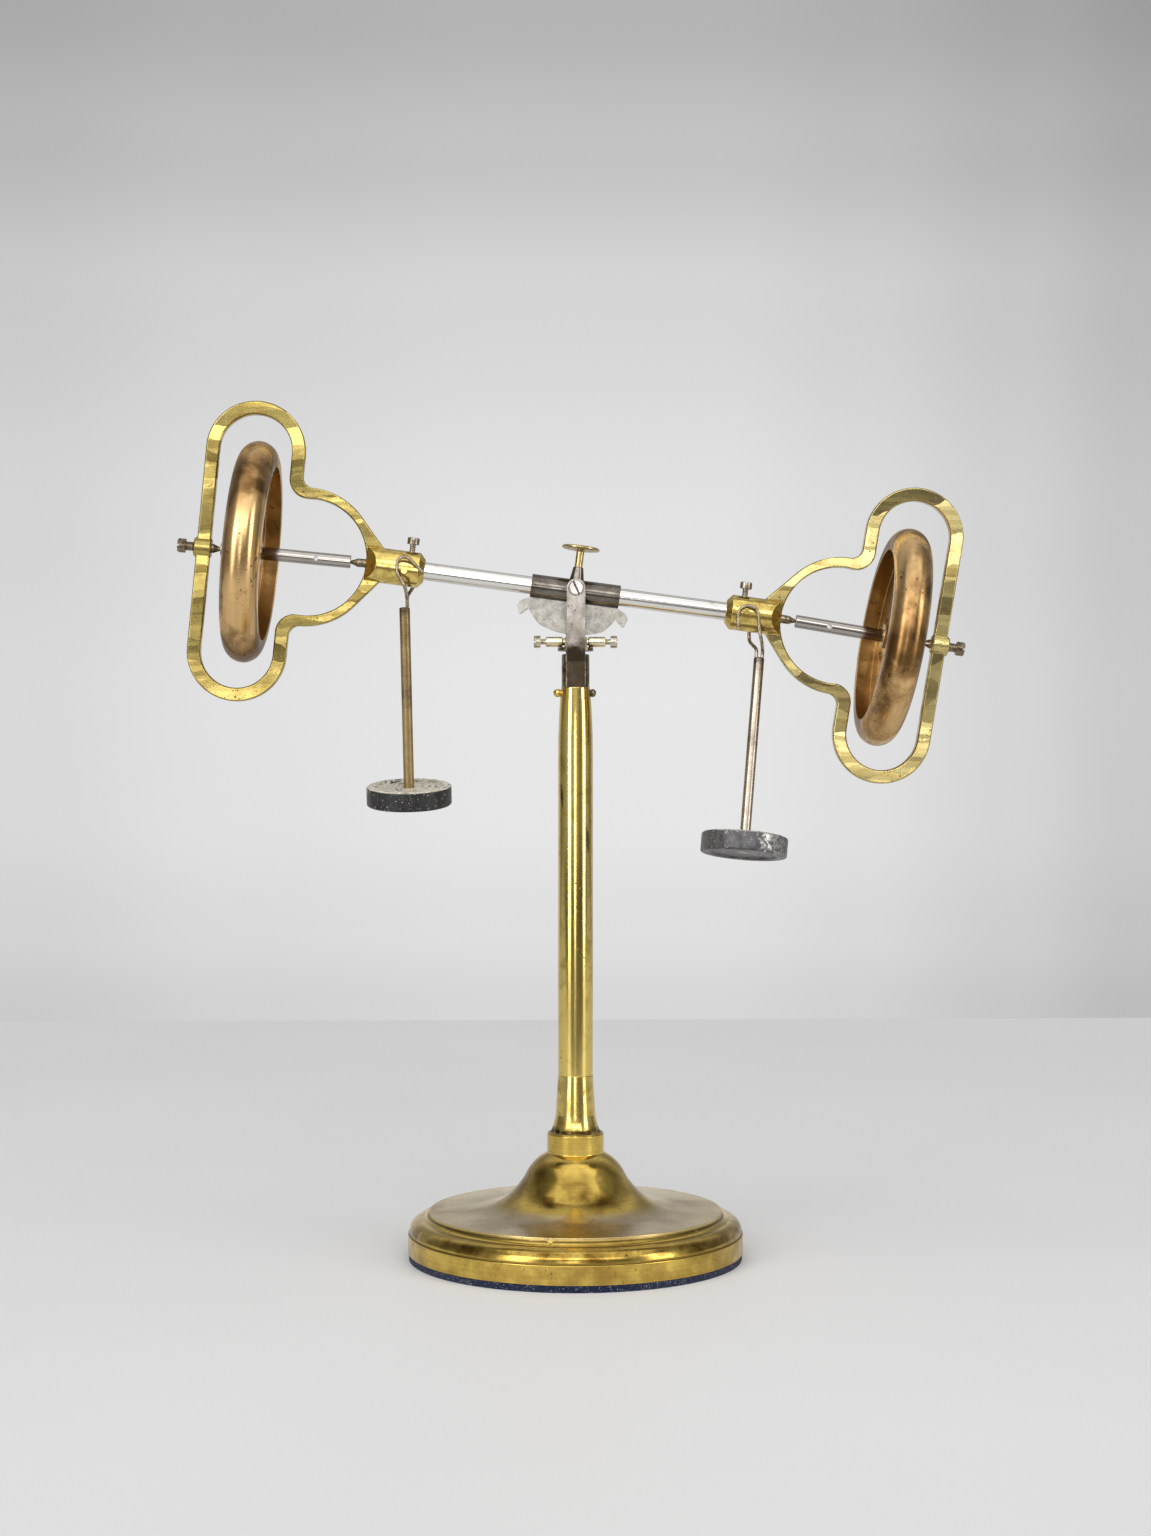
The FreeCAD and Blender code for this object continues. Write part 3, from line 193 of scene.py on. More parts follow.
# Metals: clean colour, tarnished colour
BRASS = (srgb(228, 202, 118), srgb(150, 118, 50))
FILED_BRASS = (srgb(204, 184, 112), srgb(144, 122, 60))
PALE_FILED_BRASS = (srgb(216, 200, 140), srgb(168, 148, 88))
KNOB_BRASS = (srgb(204, 184, 132), srgb(146, 122, 76))
OLD_BRASS = (srgb(222, 190, 96), srgb(148, 114, 44))
BRONZE = (srgb(222, 184, 128), srgb(150, 108, 62))
NICKEL = (srgb(226, 223, 218), srgb(170, 160, 146))
AXLE_STEEL = (srgb(168, 162, 156), srgb(116, 108, 98))
HEAD_STEEL = (srgb(206, 198, 182), srgb(140, 128, 106))
SCREW_STEEL = (srgb(180, 172, 158), srgb(118, 108, 90))
PIVOT_STEEL = (srgb(236, 233, 228), srgb(186, 178, 166))
GREY_STEEL = (srgb(176, 169, 161), srgb(138, 130, 119))
DARK_STEEL = (srgb(122, 116, 108), srgb(74, 66, 56))
BROWN_STEEL = (srgb(150, 138, 116), srgb(58, 45, 28))

UP = (0.0, 0.0, 1.0)
ORIGIN = (0.0, 0.0, 0.0)


class Metal:
    """One worn metal: colour patches, tool marks, fine scratches, pits, and edges rubbed bright."""

    def __init__(self, name, colours, rough=(0.15, 0.32), patch=90, cover=(0.42, 0.7), edge=0.0004):
        nodes = Nodes(name)
        self.nodes = nodes
        normal, worn = nodes.soft_edge(edge)
        clean, dull = colours
        patches = nodes.spread(nodes.noise(patch, 5.0, 0.62, 0.4), cover[0], cover[1])
        self.colour = nodes.mix(patches, clean, dull)
        self.rough = nodes.spread(patches, 0.0, 1.0, rough[0], rough[1])
        self.edge = nodes.math("MULTIPLY", worn, 0.7)
        self.bright = tuple(min(1.0, part * 1.15) for part in clean)
        self.normal = normal

    def lathe(self, origin, axis, scale=2600, depth=0.00001, colour=0.25):
        """Turning marks round an axis."""
        nodes = self.nodes
        marks = nodes.rings(origin, axis, scale)
        self.normal = nodes.bump(marks, depth, self.normal)
        dark = nodes.math("MULTIPLY", nodes.spread(marks, 0.42, 0.62), colour)
        self.colour = nodes.mix(dark, self.colour, nodes.mix(0.5, self.colour, (0.0, 0.0, 0.0)))
        return self

    def streaks(self, axis, scale=1400, squeeze=0.03, depth=0.000006, colour=0.25):
        """Polishing scratches that run along an axis."""
        nodes = self.nodes
        marks = nodes.noise(scale, 3.0, 0.6, source=nodes.lengthwise(axis, squeeze))
        self.normal = nodes.bump(marks, depth, self.normal)
        dark = nodes.math("MULTIPLY", nodes.spread(marks, 0.5, 0.72), colour)
        self.colour = nodes.mix(dark, self.colour, nodes.mix(0.45, self.colour, (0.0, 0.0, 0.0)))
        return self

    def pits(self, colour, scale=900, level=(0.68, 0.74), depth=0.00002):
        """Dark specks and small pits."""
        nodes = self.nodes
        specks = nodes.spread(nodes.noise(scale, 2.0, 0.5), level[0], level[1])
        few = nodes.spread(nodes.noise(scale / 9, 2.0, 0.5), 0.45, 0.6)
        specks = nodes.math("MULTIPLY", specks, few)
        self.colour = nodes.mix(nodes.math("MULTIPLY", specks, 0.85), self.colour, colour)
        self.rough = nodes.math("ADD", self.rough, nodes.math("MULTIPLY", specks, 0.3))
        self.normal = nodes.bump(nodes.math("SUBTRACT", 1.0, specks), depth, self.normal)
        return self

    def waves(self, scale, depth, stretch=(1, 1, 1), rotation=(0, 0, 0), detail=1.5):
        """Slow unevenness left by hand work, which breaks up what the metal mirrors."""
        nodes = self.nodes
        place = nodes.stretch(stretch, rotation)
        self.normal = nodes.bump(nodes.noise(scale, detail, 0.5, 0.3, source=place), depth, self.normal)
        return self

    def turned(self, origin, axis, amount=0.7):
        """Spreads what is mirrored across the marks of a lathe."""
        nodes = self.nodes
        from_origin = nodes.vector("SUBTRACT", nodes.place, tuple(origin))
        around = nodes.vector("CROSS_PRODUCT", tuple(axis), from_origin)
        placed = nodes.add("ShaderNodeVectorTransform", vector_type="VECTOR")
        placed.convert_from, placed.convert_to = "OBJECT", "WORLD"
        nodes.link(nodes.vector("NORMALIZE", around, (0, 0, 0)), placed.inputs[0])
        nodes.link(placed.outputs[0], nodes.shader.inputs["Tangent"])
        nodes.shader.inputs["Anisotropic"].default_value = amount
        return self

    def facets(self, axis, width, lean, colour):
        """Flat cuts side by side across an axis, as a file leaves them, each with its own lean and a painted shade
        per cut that copies how its lean would catch the light.
        """
        nodes = self.nodes
        along = nodes.vector("DOT_PRODUCT", nodes.place, tuple(axis))
        wander = nodes.spread(nodes.noise(70, 1.0), 0.3, 0.7, -width / 3, width / 3)
        cells = nodes.add("ShaderNodeTexVoronoi", voronoi_dimensions="1D")
        cells.inputs["Scale"].default_value = 1 / width
        nodes.link(nodes.math("ADD", along, wander), cells.inputs["W"])
        leaning = nodes.vector("SUBTRACT", cells.outputs["Color"], (0.5, 0.5, 0.5))
        leaning = nodes.vector("SCALE", leaning, (0, 0, 0), lean)
        self.normal = nodes.vector("NORMALIZE", nodes.vector("ADD", self.normal, leaning), (0, 0, 0))
        # Painted shade: each cut takes a random share of the given colour, standing in for how its lean catches
        # the light
        tone = nodes.vector("DOT_PRODUCT", cells.outputs["Color"], (0.6, 0.0, 0.4))
        self.colour = nodes.mix(nodes.spread(tone, 0.25, 0.75, 0.0, 0.8), self.colour, colour)
        return self

    def tint(self, mask, colour, rough=None):
        """Lays a colour over the metal where a mask is 1."""
        nodes = self.nodes
        self.colour = nodes.mix(mask, self.colour, colour)
        if rough is not None:
            self.rough = nodes.math("ADD", self.rough, nodes.math("MULTIPLY", mask, rough))
        return self

    def finish(self, metallic=1.0):
        nodes = self.nodes
        colour = nodes.mix(self.edge, self.colour, self.bright)
        nodes.set(Base_Color=colour, Roughness=self.rough, Normal=self.normal)
        nodes.shader.inputs["Metallic"].default_value = metallic
        return nodes.material


def height_band(nodes, low, high, soft=0.0015):
    """1 between two heights, fading out over a soft edge."""
    along, _ = nodes.about(ORIGIN, UP)
    rising = nodes.spread(along, low - soft, low + soft)
    falling = nodes.spread(along, high - soft, high + soft, 1.0, 0.0)
    return nodes.math("MULTIPLY", rising, falling)


def broken(nodes, mask, scale=160, low=0.35, high=0.6):
    """A mask eaten away by noise."""
    return nodes.math("MULTIPLY", mask, nodes.spread(nodes.noise(scale, 4.0, 0.6), low, high))


# Lower and upper height of the foot's parts above the casting's underside
FOOT_BAND = (-0.001, 0.0083)
FOOT_GROOVES = ((0.0084, 0.0090), (0.0162, 0.0172))
FOOT_MOULDING = (0.0092, 0.0140)
FOOT_PLATE = (0.0177, 0.0215)
FOOT_BELL = (0.0235, 0.0400)


def foot_brass():
    """Turned foot: a satin grey-gold plate, paled in part by a painted reflection of the pale backdrop, a polished
    bell and moulding darkened by painted reflections of the dark room, and a bare band below.
    """
    metal = Metal("foot_brass", OLD_BRASS, rough=(0.14, 0.26), patch=42, cover=(0.5, 0.8), edge=0.0005)
    nodes = metal.nodes
    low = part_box("base_casting")[0][2]

    def part(heights, soft):
        return height_band(nodes, low + heights[0], low + heights[1], soft)

    metal.lathe(ORIGIN, UP, 2200, 0.000005, 0.25).turned(ORIGIN, UP, 0.6)
    plate = part(FOOT_PLATE, 0.0012)
    # Partly painted reflection: the plate's pale grey-gold stands in, in part, for the pale backdrop it mirrors
    metal.tint(nodes.math("MULTIPLY", plate, 0.75), srgb(216, 202, 176), 0.14)
    metal.tint(broken(nodes, nodes.math("MULTIPLY", plate, 0.5), 38, 0.42, 0.62), srgb(158, 134, 96), 0.05)
    bell = part(FOOT_BELL, 0.0035)
    # Painted reflection: dark brown patches on the bell stand in for the dark room it mirrors
    metal.tint(broken(nodes, bell, 45, 0.3, 0.66), srgb(104, 78, 28), 0.02)
    moulding = part(FOOT_MOULDING, 0.0012)
    # Painted reflection: dark brown patches on the moulding stand in for the dark room it mirrors
    metal.tint(broken(nodes, moulding, 60, 0.34, 0.6), srgb(100, 72, 26), 0.06)
    lower_groove, upper_groove = part(FOOT_GROOVES[0], 0.0002), part(FOOT_GROOVES[1], 0.0005)
    grooves = nodes.math("ADD", lower_groove, upper_groove)
    metal.tint(broken(nodes, grooves, 200, 0.25, 0.4), srgb(58, 42, 16), 0.2)
    band = part(FOOT_BAND, 0.0005)
    metal.tint(broken(nodes, nodes.math("MULTIPLY", band, 0.7), 90, 0.4, 0.62), srgb(156, 124, 62), 0.12)
    metal.pits(srgb(40, 30, 12), 700, (0.66, 0.73))
    return metal.finish()


def felt():
    nodes = Nodes("felt_cloth")
    fluff = nodes.noise(1800, 4.0, 0.7)
    specks = nodes.spread(nodes.noise(2000, 2.0, 0.5), 0.64, 0.7)
    dust = nodes.spread(nodes.noise(240, 3.0, 0.6), 0.5, 0.72)
    colour = nodes.mix(nodes.spread(fluff, 0.35, 0.68), srgb(8, 12, 26), srgb(30, 42, 74))
    colour = nodes.mix(nodes.math("MULTIPLY", dust, 0.2), colour, srgb(78, 84, 98))
    colour = nodes.mix(nodes.math("MULTIPLY", specks, 0.9), colour, srgb(205, 205, 210))
    nodes.set(Base_Color=colour, Normal=nodes.bump(fluff, 0.0006))
    nodes.shader.inputs["Roughness"].default_value = 0.95
    nodes.shader.inputs["Sheen Weight"].default_value = 0.08
    nodes.shader.inputs["Specular IOR Level"].default_value = 0.2
    return nodes.material


def column_brass(name, cover=(0.5, 0.85)):
    metal = Metal(name, BRASS, rough=(0.1, 0.24), patch=120, cover=cover)
    metal.streaks(UP, 1500, 0.02, 0.000004, 0.2)
    metal.waves(160, 0.00002, (1, 1, 0.25))
    metal.pits(srgb(70, 52, 20), 800, (0.66, 0.72))
    return metal.finish()


def ferrule_brass():
    metal = Metal("ferrule_brass", BRASS, rough=(0.14, 0.3), patch=150, cover=(0.45, 0.75))
    metal.lathe(ORIGIN, UP, 3000, 0.00001, 0.3)
    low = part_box("column_tube")[0][2]
    grime = height_band(metal.nodes, low - 0.0262, low - 0.0235, 0.001)
    metal.tint(broken(metal.nodes, grime, 300, 0.3, 0.5), srgb(60, 44, 16), 0.2)
    metal.pits(srgb(60, 44, 16), 900)
    return metal.finish()


def small_brass(name, origin=ORIGIN, axis=UP, colours=BRASS, rough=(0.15, 0.34)):
    metal = Metal(name, colours, rough=rough, patch=240, cover=(0.42, 0.75), edge=0.0003)
    metal.lathe(origin, axis, 3600, 0.000008, 0.25)
    metal.pits(srgb(60, 44, 16), 1500, (0.64, 0.7), 0.00001)
    return metal.finish()


def frame_brass(name, side_turn, colours, dark):
    """Cast strip, filed flat by hand: broad cuts and fine file marks along them."""
    metal = Metal(name, colours, rough=(0.2, 0.32), patch=90, cover=(0.42, 0.72), edge=0.0005)
    slope = math.radians(-9 * side_turn)
    cut = (math.cos(slope), 0.0, math.sin(slope))
    # The broad cuts carry painted shade towards the dark colour, the fine cuts towards one between clean and
    # tarnished
    metal.facets((-cut[2], 0.0, cut[0]), 0.0075, 0.3, dark)
    between = tuple((clean + dull) / 2 for clean, dull in zip(*colours))
    metal.facets((math.sin(slope / 2), 0.0, math.cos(slope / 2)), 0.0021, 0.06, between)
    metal.streaks(cut, 2600, 0.05, 0.000004, 0.3)
    metal.pits(srgb(84, 62, 26), 1000, (0.64, 0.72))
    return metal.finish()


def rotor_bronze(name, origin, axis):
    """Heavy turned rim, handled and tarnished in broad clouds, with a browner inside."""
    metal = Metal(name, BRONZE, rough=(0.24, 0.36), patch=30, cover=(0.4, 0.62), edge=0.0006)
    nodes = metal.nodes
    metal.lathe(origin, axis, 1500, 0.000006, 0.2).turned(origin, axis, 0.7)
    clouds = nodes.spread(nodes.noise(30, 4.0, 0.6, 0.8), 0.46, 0.6)
    metal.tint(nodes.math("MULTIPLY", clouds, 0.85), srgb(104, 76, 42), -0.06)
    _, out = nodes.about(origin, axis)
    inside = nodes.spread(out, 0.0385, 0.0405, 1.0, 0.0)
    metal.tint(nodes.math("MULTIPLY", inside, 0.5), srgb(200, 162, 92), 0.05)
    metal.tint(broken(nodes, nodes.math("MULTIPLY", inside, 0.7), 60, 0.45, 0.7), srgb(128, 96, 46), 0.1)
    metal.pits(srgb(70, 42, 18), 500, (0.62, 0.7))
    return metal.finish()


def bright_rod(name, axis, colours=NICKEL):
    metal = Metal(name, colours, rough=(0.12, 0.22), patch=80, cover=(0.6, 0.95), edge=0.0003)
    metal.streaks(axis, 3200, 0.02, 0.0000006, 0.2)
    stained = metal.nodes.spread(metal.nodes.noise(35, 2.0), 0.54, 0.66, 0.0, 0.5)
    metal.tint(broken(metal.nodes, stained, 420, 0.5, 0.7), srgb(178, 160, 128), 0.08)
    metal.pits(srgb(70, 60, 48), 900, (0.72, 0.78), 0.000006)
    return metal.finish()


def sleeve_steel(axis):
    metal = Metal("sleeve_steel", DARK_STEEL, rough=(0.12, 0.24), patch=130, cover=(0.4, 0.7), edge=0.0004)
    metal.streaks(axis, 2600, 0.04, 0.0000015, 0.3)
    metal.pits(srgb(38, 32, 26), 900, (0.66, 0.73), 0.000008)
    return metal.finish()


def mottled_plate():
    """Flat steel with the blotches of old zinc."""
    metal = Metal("mottled_plate", (srgb(188, 184, 176), srgb(158, 154, 146)), rough=(0.36, 0.5), patch=300,
                  cover=(0.35, 0.65), edge=0.0002)
    nodes = metal.nodes
    blotch = nodes.spread(nodes.noise(700, 3.0, 0.6, 1.2), 0.5, 0.66)
    metal.tint(nodes.math("MULTIPLY", blotch, 0.6), srgb(130, 126, 118))
    stain = nodes.spread(nodes.noise(110, 4.0, 0.6), 0.52, 0.7)
    metal.tint(nodes.math("MULTIPLY", stain, 0.4), srgb(150, 138, 114), 0.06)
    metal.pits(srgb(96, 86, 68), 1300, (0.66, 0.72), 0.000004)
    return metal.finish()


def arm_steel(name, low, high):
    """Bent strip, bright above, with painted shade in brown below, where it bends in and faces down."""
    metal = Metal(name, GREY_STEEL, rough=(0.24, 0.42), patch=170, cover=(0.4, 0.7), edge=0.0004)
    nodes = metal.nodes
    along, _ = nodes.about(ORIGIN, UP)
    ragged = nodes.math("ADD", along, nodes.spread(nodes.noise(260, 3.0), 0.3, 0.7, -0.003, 0.003))
    # Painted shade: brown over the lower part of the strip, below a ragged line
    painted_lower_shade = nodes.spread(ragged, low, high, 0.95, 0.0)
    metal.tint(painted_lower_shade, srgb(54, 42, 26), 0.02)
    metal.streaks(UP, 2400, 0.06, 0.000003, 0.3)
    metal.pits(srgb(50, 40, 28), 900, (0.64, 0.72), 0.000008)
    return metal.finish()


def browned(name, colours=BROWN_STEEL, rough=(0.2, 0.42)):
    metal = Metal(name, colours, rough=rough, patch=300, cover=(0.38, 0.66), edge=0.0003)
    metal.waves(500, 0.00001)
    metal.pits(srgb(36, 28, 18), 1400, (0.62, 0.7), 0.000006)
    return metal.finish()


def slotted_head(name, face, inward):
    """Bright screw head, with painted shade in its slot and round its side; the face looks along Y."""
    metal = Metal(name, PIVOT_STEEL, rough=(0.26, 0.4), patch=300, cover=(0.38, 0.66), edge=0.0002)
    nodes = metal.nodes
    depth = nodes.vector("DOT_PRODUCT", nodes.place, (0.0, float(inward), 0.0))
    # Painted shade: a dark colour on all that lies past the head's face, in the slot and down the head's side
    painted_slot_shade = nodes.spread(depth, face * inward + 0.0003, face * inward + 0.0006, 0.0, 0.85)
    metal.tint(painted_slot_shade, srgb(44, 38, 30), 0.2)
    metal.pits(srgb(60, 52, 40), 1400, (0.66, 0.72), 0.000006)
    return metal.finish()


def stem_metal(name, colours, rough, solder):
    """Drawn rod, darkened by solder where the hooks join it and stained farther down."""
    metal = Metal(name, colours, rough=rough, patch=110, cover=(0.4, 0.7), edge=0.0003)
    nodes = metal.nodes
    metal.streaks(UP, 2600, 0.03, 0.0000006, 0.15)
    along, _ = nodes.about(ORIGIN, UP)
    ragged = nodes.math("ADD", along, nodes.spread(nodes.noise(200, 3.0), 0.3, 0.7, -0.002, 0.002))
    joined = nodes.spread(ragged, solder - 0.006, solder - 0.002)
    metal.tint(nodes.math("MULTIPLY", joined, 0.8), srgb(72, 62, 54), 0.12)
    stain = height_band(nodes, solder - 0.043, solder - 0.035, 0.003)
    metal.tint(broken(nodes, nodes.math("MULTIPLY", stain, 0.7), 320, 0.35, 0.6), srgb(92, 82, 74), 0.1)
    metal.pits(srgb(58, 48, 36), 1100, (0.7, 0.76), 0.000004)
    return metal.finish()


def worn_paint(name, paint, chips, cover, top, top_cover):
    """Paint over a disc, chipped along its edges and rubbed on its side; faces that look up turn paler and less
    metallic in patches.
    """
    nodes = Nodes(name)
    normal, edge = nodes.soft_edge(0.0006)
    grain = nodes.noise(620, 5.0, 0.66)
    broad = nodes.noise(90, 4.0, 0.6)
    both = nodes.math("ADD", nodes.math("MULTIPLY", grain, 0.5), nodes.math("MULTIPLY", broad, 0.5))
    worn = nodes.math("ADD", both, nodes.math("MULTIPLY", edge, 0.14))
    # Paler, less metallic and smoother in patches where the faces look up
    facing = nodes.vector("DOT_PRODUCT", nodes.add("ShaderNodeTexCoord").outputs["Normal"], UP)
    rubbed = nodes.spread(both, top_cover, top_cover + 0.05)
    upper = nodes.math("MULTIPLY", nodes.spread(facing, 0.35, 0.75), rubbed)
    bare = nodes.spread(worn, cover, cover + 0.05)
    shade = nodes.spread(nodes.noise(260, 4.0, 0.65), 0.35, 0.66)
    paint_colour = nodes.mix(shade, paint[0], paint[1])
    metal_colour = nodes.mix(nodes.spread(grain, 0.4, 0.62), chips[0], chips[1])
    speck = nodes.spread(nodes.noise(1500, 2.0, 0.5), 0.66, 0.72)
    chipped = nodes.mix(bare, paint_colour, metal_colour)
    side_colour = nodes.mix(nodes.math("MULTIPLY", speck, 0.7), chipped, top[1])
    top_colour = nodes.mix(nodes.spread(grain, 0.4, 0.6), top[0], top[1])
    bare_metal = nodes.spread(bare, 0.0, 1.0, 0.0, 0.85)
    height = nodes.math("ADD", nodes.math("MULTIPLY", grain, 0.3), nodes.math("SUBTRACT", 1.0, bare))
    nodes.set(
        Base_Color=nodes.mix(upper, side_colour, top_colour),
        Metallic=nodes.math("MULTIPLY", bare_metal, nodes.spread(upper, 0.0, 1.0, 1.0, 0.4)),
        Roughness=nodes.spread(nodes.math("MAXIMUM", bare, upper), 0.0, 1.0, 0.4, 0.3),
        Normal=nodes.bump(height, 0.00008, normal),
    )
    return nodes.material


def ramp(nodes, links, value, stops):
    """A grey level from a value between 0 and 1, by smooth steps."""
    node = nodes.new("ShaderNodeValToRGB")
    node.color_ramp.interpolation = "EASE"
    for place, level in stops[2:]:
        node.color_ramp.elements.new(place)
    for element, (place, level) in zip(node.color_ramp.elements, sorted(stops)):
        element.position = place
        element.color = (level, level, level, 1.0)
    links.new(value, node.inputs["Fac"])
    return node.outputs["Color"]


# Grey level of the studio's walls by compass angle, 0 behind the camera and positive to the right
WALLS = [
    (-180, 0.72), (-142, 0.66), (-122, 0.3), (-106, 0.18), (-86, 0.3), (-62, 0.42), (-42, 0.7), (-22, 0.46),
    (-6, 0.66), (6, 0.62), (16, 0.36), (28, 0.2), (42, 0.36), (57, 0.66), (74, 0.4), (92, 0.34), (108, 0.18),
    (124, 0.32), (144, 0.66), (180, 0.72),
]
# Grey level of the backdrop by height of the line of sight, as the sine of its angle
BACKDROP = [
    (-0.2, 0.62), (-0.101, 0.68), (-0.069, 0.74), (-0.02, 0.795), (0.03, 0.8), (0.1, 0.765), (0.196, 0.672),
    (0.256, 0.546), (0.307, 0.456), (0.4, 0.36),
]
# How much of that is left towards the sides, by the sideways part of the line of sight
BACKDROP_SIDES = [
    (-0.35, 0.8), (-0.2, 0.87), (-0.11, 0.95), (0.0, 1.0), (0.09, 1.0), (0.15, 0.94), (0.213, 0.84),
    (0.26, 0.74), (0.4, 0.6),
]


def make_studio():
    """Pale backdrop behind the object, a dimmer room with soft panels on the camera's side."""
    world = bpy.data.worlds.new("studio")
    world.use_nodes = True
    SCENE.world = world
    nodes, links = world.node_tree.nodes, world.node_tree.links
    background = nodes["Background"]
    toward = nodes.new("ShaderNodeTexCoord").outputs["Generated"]
    parts = nodes.new("ShaderNodeSeparateXYZ")
    links.new(toward, parts.inputs[0])

    def figure(operation, first, second=0.0, third=0.0):
        node = nodes.new("ShaderNodeMath")
        node.operation = operation
        for socket, value in zip(node.inputs, (first, second, third)):
            if isinstance(value, bpy.types.NodeSocket):
                links.new(value, socket)
            else:
                socket.default_value = value
        return node.outputs[0]

    back = figure("MULTIPLY", parts.outputs["Y"], -1.0)
    angle = figure("ARCTAN2", parts.outputs["X"], back)
    turn = figure("MULTIPLY_ADD", angle, 0.5 / math.pi, 0.5)
    walls = ramp(nodes, links, turn, [(place / 360 + 0.5, level) for place, level in WALLS])
    lift = figure("MULTIPLY_ADD", parts.outputs["Z"], 1.0, 0.5)
    behind = ramp(nodes, links, lift, [(place + 0.5, level) for place, level in BACKDROP])
    aside = figure("MULTIPLY_ADD", parts.outputs["X"], 1.0, 0.5)
    sides = ramp(nodes, links, aside, [(place + 0.5, level) for place, level in BACKDROP_SIDES])
    shaded = nodes.new("ShaderNodeVectorMath")
    shaded.operation = "MULTIPLY"
    links.new(behind, shaded.inputs[0])
    links.new(sides, shaded.inputs[1])
    rear = nodes.new("ShaderNodeMapRange")
    rear.interpolation_type = "SMOOTHSTEP"
    for name, value in (("From Min", 0.5), ("From Max", 0.86)):
        rear.inputs[name].default_value = value
    links.new(parts.outputs["Y"], rear.inputs["Value"])

    def blend(factor, first, second):
        node = nodes.new("ShaderNodeMix")
        node.data_type = "RGBA"
        for socket, source in zip((node.inputs[0], node.inputs[6], node.inputs[7]), (factor, first, second)):
            links.new(source, socket)
        return node.outputs[2]

    # The camera sees the plain backdrop all round; the walls only light the object
    seen = nodes.new("ShaderNodeLightPath").outputs["Is Camera Ray"]
    backdrop = blend(rear.outputs["Result"], behind, shaded.outputs["Vector"])
    shown = figure("MAXIMUM", rear.outputs["Result"], seen)
    links.new(blend(shown, walls, backdrop), background.inputs["Color"])
    background.inputs["Strength"].default_value = 1.0


def make_stage():
    """The table: pale, with painted light making it paler towards its far edge, and dim in front where only the
    metal mirrors it.
    """
    table = Nodes("table")
    away = table.vector("DOT_PRODUCT", table.place, (0.0, 1.0, 0.0))
    tone = table.spread(table.noise(2.2, 2.0, 0.5), 0.3, 0.7, -0.02, 0.02)
    # Painted light: the grey rises from 0.66 to 0.88 towards the far edge, in place of more light falling there
    pale = table.math("ADD", table.spread(away, -0.4, TABLE_EDGE_Y, 0.66, 0.88), tone)
    front = table.spread(away, -0.42, -0.75)
    mirrored = table.math("MULTIPLY", front, table.add("ShaderNodeLightPath").outputs["Is Glossy Ray"])
    grey = table.add("ShaderNodeCombineColor")
    for part in ("Red", "Green", "Blue"):
        table.link(pale, grey.inputs[part])
    table.set(Base_Color=table.mix(mirrored, grey.outputs["Color"], (0.06, 0.055, 0.05)))
    table.shader.inputs["Roughness"].default_value = 0.55
    bpy.ops.mesh.primitive_plane_add(size=1)
    floor = bpy.context.object
    floor.name = "floor"
    floor.data.transform(Matrix.Diagonal((8, TABLE_EDGE_Y + 4, 1, 1)))
    floor.data.transform(Matrix.Translation((0, (TABLE_EDGE_Y - 4) / 2, 0)))
    floor.data.materials.append(table.material)


# Soft boxes: azimuth in degrees, height, distance, width and tallness in metres, power in watts
LAMPS = {
    "left_box": (-42, 0.55, 1.7, 0.55, 1.3, 11),
    "right_box": (57, 0.55, 1.7, 0.5, 1.3, 9),
    "near_strip": (-4, 0.24, 2.2, 0.42, 0.5, 2.6),
    "high_box": (0, 1.2, 2.0, 2.4, 0.7, 17),
    "top_box": (0, 2.5, 1.1, 4.0, 2.6, 30),
}


def make_lamp(name, azimuth, height, distance, width, tall, power):
    """A soft box that faces the object; azimuth 0 is behind the camera."""
    lamp = bpy.data.objects.new(name, bpy.data.lights.new(name, "AREA"))
    lamp.data.shape = "RECTANGLE"
    lamp.data.size = width
    lamp.data.size_y = tall
    lamp.data.energy = power
    angle = math.radians(azimuth)
    lamp.location = (distance * math.sin(angle), -distance * math.cos(angle), height)
    aim = Vector((0, 0, 0.2)) - lamp.location
    lamp.rotation_euler = aim.to_track_quat("-Z", "Y").to_euler()
    SCENE.collection.objects.link(lamp)


def joint_line(name):
    """The place and direction of a joint's axis."""
    joint = next(joint for joint in frame["joints"] if joint["name"] == name)
    return tuple(joint["pos_m"]), tuple(joint["axis"])


def middle(node):
    low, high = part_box(node)
    return tuple((a + b) / 2 for a, b in zip(low, high))


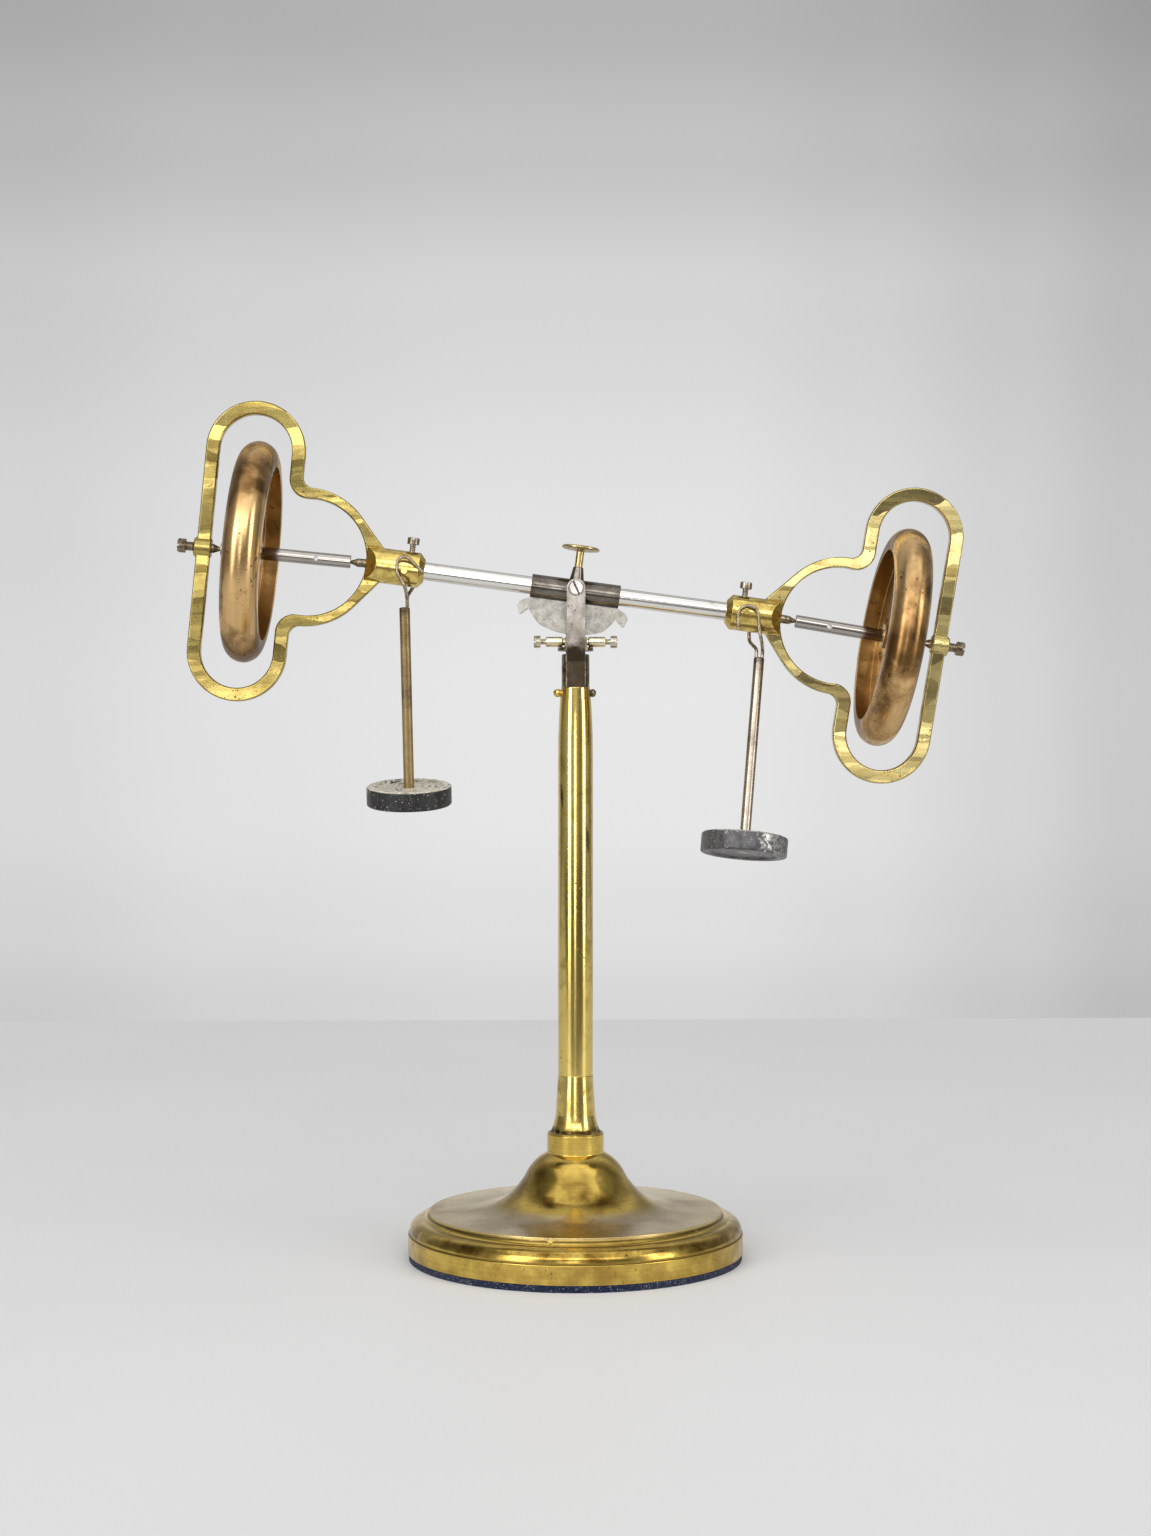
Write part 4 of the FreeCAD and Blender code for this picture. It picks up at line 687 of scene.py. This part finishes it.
def make_materials():
    """A finished material for every piece, by its node's name."""
    slide = next(joint for joint in frame["joints"] if joint["name"] == "rod_slide")
    along_beam = tuple(slide["axis"])
    knob_place, across_beam = joint_line("knob_turn")
    finishes = {
        "base_felt": felt(),
        "base_casting": foot_brass(),
        "stem_ferrule": ferrule_brass(),
        "column_tube": column_brass("column_brass"),
        "column_bush": column_brass("bush_brass"),
        "bush_screw_left": small_brass("bush_screw_brass"),
        "clamp_knob": small_brass("knob_brass", knob_place, across_beam, KNOB_BRASS, (0.24, 0.4)),
        "pivot_screw_front": slotted_head("front_pivot_screw_steel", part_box("pivot_screw_front")[0][1], 1),
        "pivot_screw_rear": slotted_head("rear_pivot_screw_steel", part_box("pivot_screw_rear")[1][1], -1),
        "beam_rod": bright_rod("rod_nickel", along_beam),
        "tilt_sleeve": sleeve_steel(along_beam),
        "quadrant_plate": mottled_plate(),
        "left_weight_disc": worn_paint("left_disc_paint", (srgb(12, 12, 13), srgb(30, 30, 30)),
                                       (srgb(150, 144, 130), srgb(206, 200, 184)), 0.6,
                                       (srgb(168, 160, 140), srgb(222, 216, 200)), 0.4),
        "right_weight_disc": worn_paint("right_disc_paint", (srgb(48, 47, 49), srgb(88, 86, 88)),
                                        (srgb(118, 116, 114), srgb(172, 169, 166)), 0.53,
                                        (srgb(138, 133, 126), srgb(190, 186, 178)), 0.46),
        "left_weight_rod": stem_metal("left_stem_brass", (srgb(178, 154, 108), srgb(128, 108, 76)),
                                      (0.34, 0.46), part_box("left_weight_rod")[1][2]),
        "right_weight_rod": stem_metal("right_stem_nickel", (srgb(176, 165, 150), srgb(150, 138, 124)),
                                       (0.24, 0.32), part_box("right_weight_rod")[1][2]),
    }
    arm_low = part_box("yoke_arm_front")[0][2]
    # The arm's painted shade fades out between these two heights
    arm = arm_steel("arm_steel", arm_low + 0.017, arm_low + 0.026)
    finishes["yoke_arm_front"] = arm
    finishes["yoke_arm_rear"] = arm
    post_line = ((0.0, 0.0, middle("stop_post_left")[2]), (1.0, 0.0, 0.0))
    # Each side's filed brass and the colour of the painted shade on its darker cuts
    filed = {
        "left": (FILED_BRASS, srgb(112, 92, 42)),
        "right": (PALE_FILED_BRASS, srgb(150, 128, 70)),
    }
    for side, turn in (("left", 1), ("right", -1)):
        rotor_place, rotor_axis = joint_line(f"{side}_rotor_spin")
        finishes[f"{side}_rotor"] = rotor_bronze(f"{side}_rotor_bronze", rotor_place, rotor_axis)
        finishes[f"{side}_axle"] = bright_rod(f"{side}_axle_steel", rotor_axis, AXLE_STEEL)
        finishes[f"{side}_frame"] = frame_brass(f"{side}_frame_brass", turn, *filed[side])
        finishes[f"{side}_socket"] = small_brass(
            f"{side}_socket_brass", knob_place, along_beam, BRASS, (0.14, 0.3))
        finishes[f"{side}_hook_pegs"] = small_brass(
            f"{side}_peg_brass", middle(f"{side}_hook_pegs"), (0.0, 1.0, 0.0))
        finishes[f"{side}_set_screw"] = browned(f"{side}_set_screw_steel", SCREW_STEEL, (0.22, 0.38))
        finishes[f"stop_post_{side}"] = small_brass(
            f"{side}_post_brass", *post_line, (srgb(240, 230, 200), srgb(190, 168, 118)), (0.1, 0.25))
        finishes[f"stop_screw_{side}"] = browned(f"{side}_stop_screw_steel", HEAD_STEEL, (0.2, 0.36))
        finishes[f"{side}_weight_hooks"] = browned(
            f"{side}_hook_wire", (srgb(184, 170, 146), srgb(112, 98, 76)), (0.22, 0.36))
    for entry in frame["record"]["subparts"]:
        if entry["node"] not in finishes:
            finishes[entry["node"]] = browned(f"{entry['node']}_steel")
    return finishes


def dress():
    finishes = make_materials()
    for name, piece in frame["nodes"].items():
        for slot in piece.material_slots:
            slot.material = finishes[name]


SCENE.view_settings.view_transform = "Standard"
make_camera()
make_stage()
make_studio()
for name, figures in LAMPS.items():
    make_lamp(name, *figures)
dress()
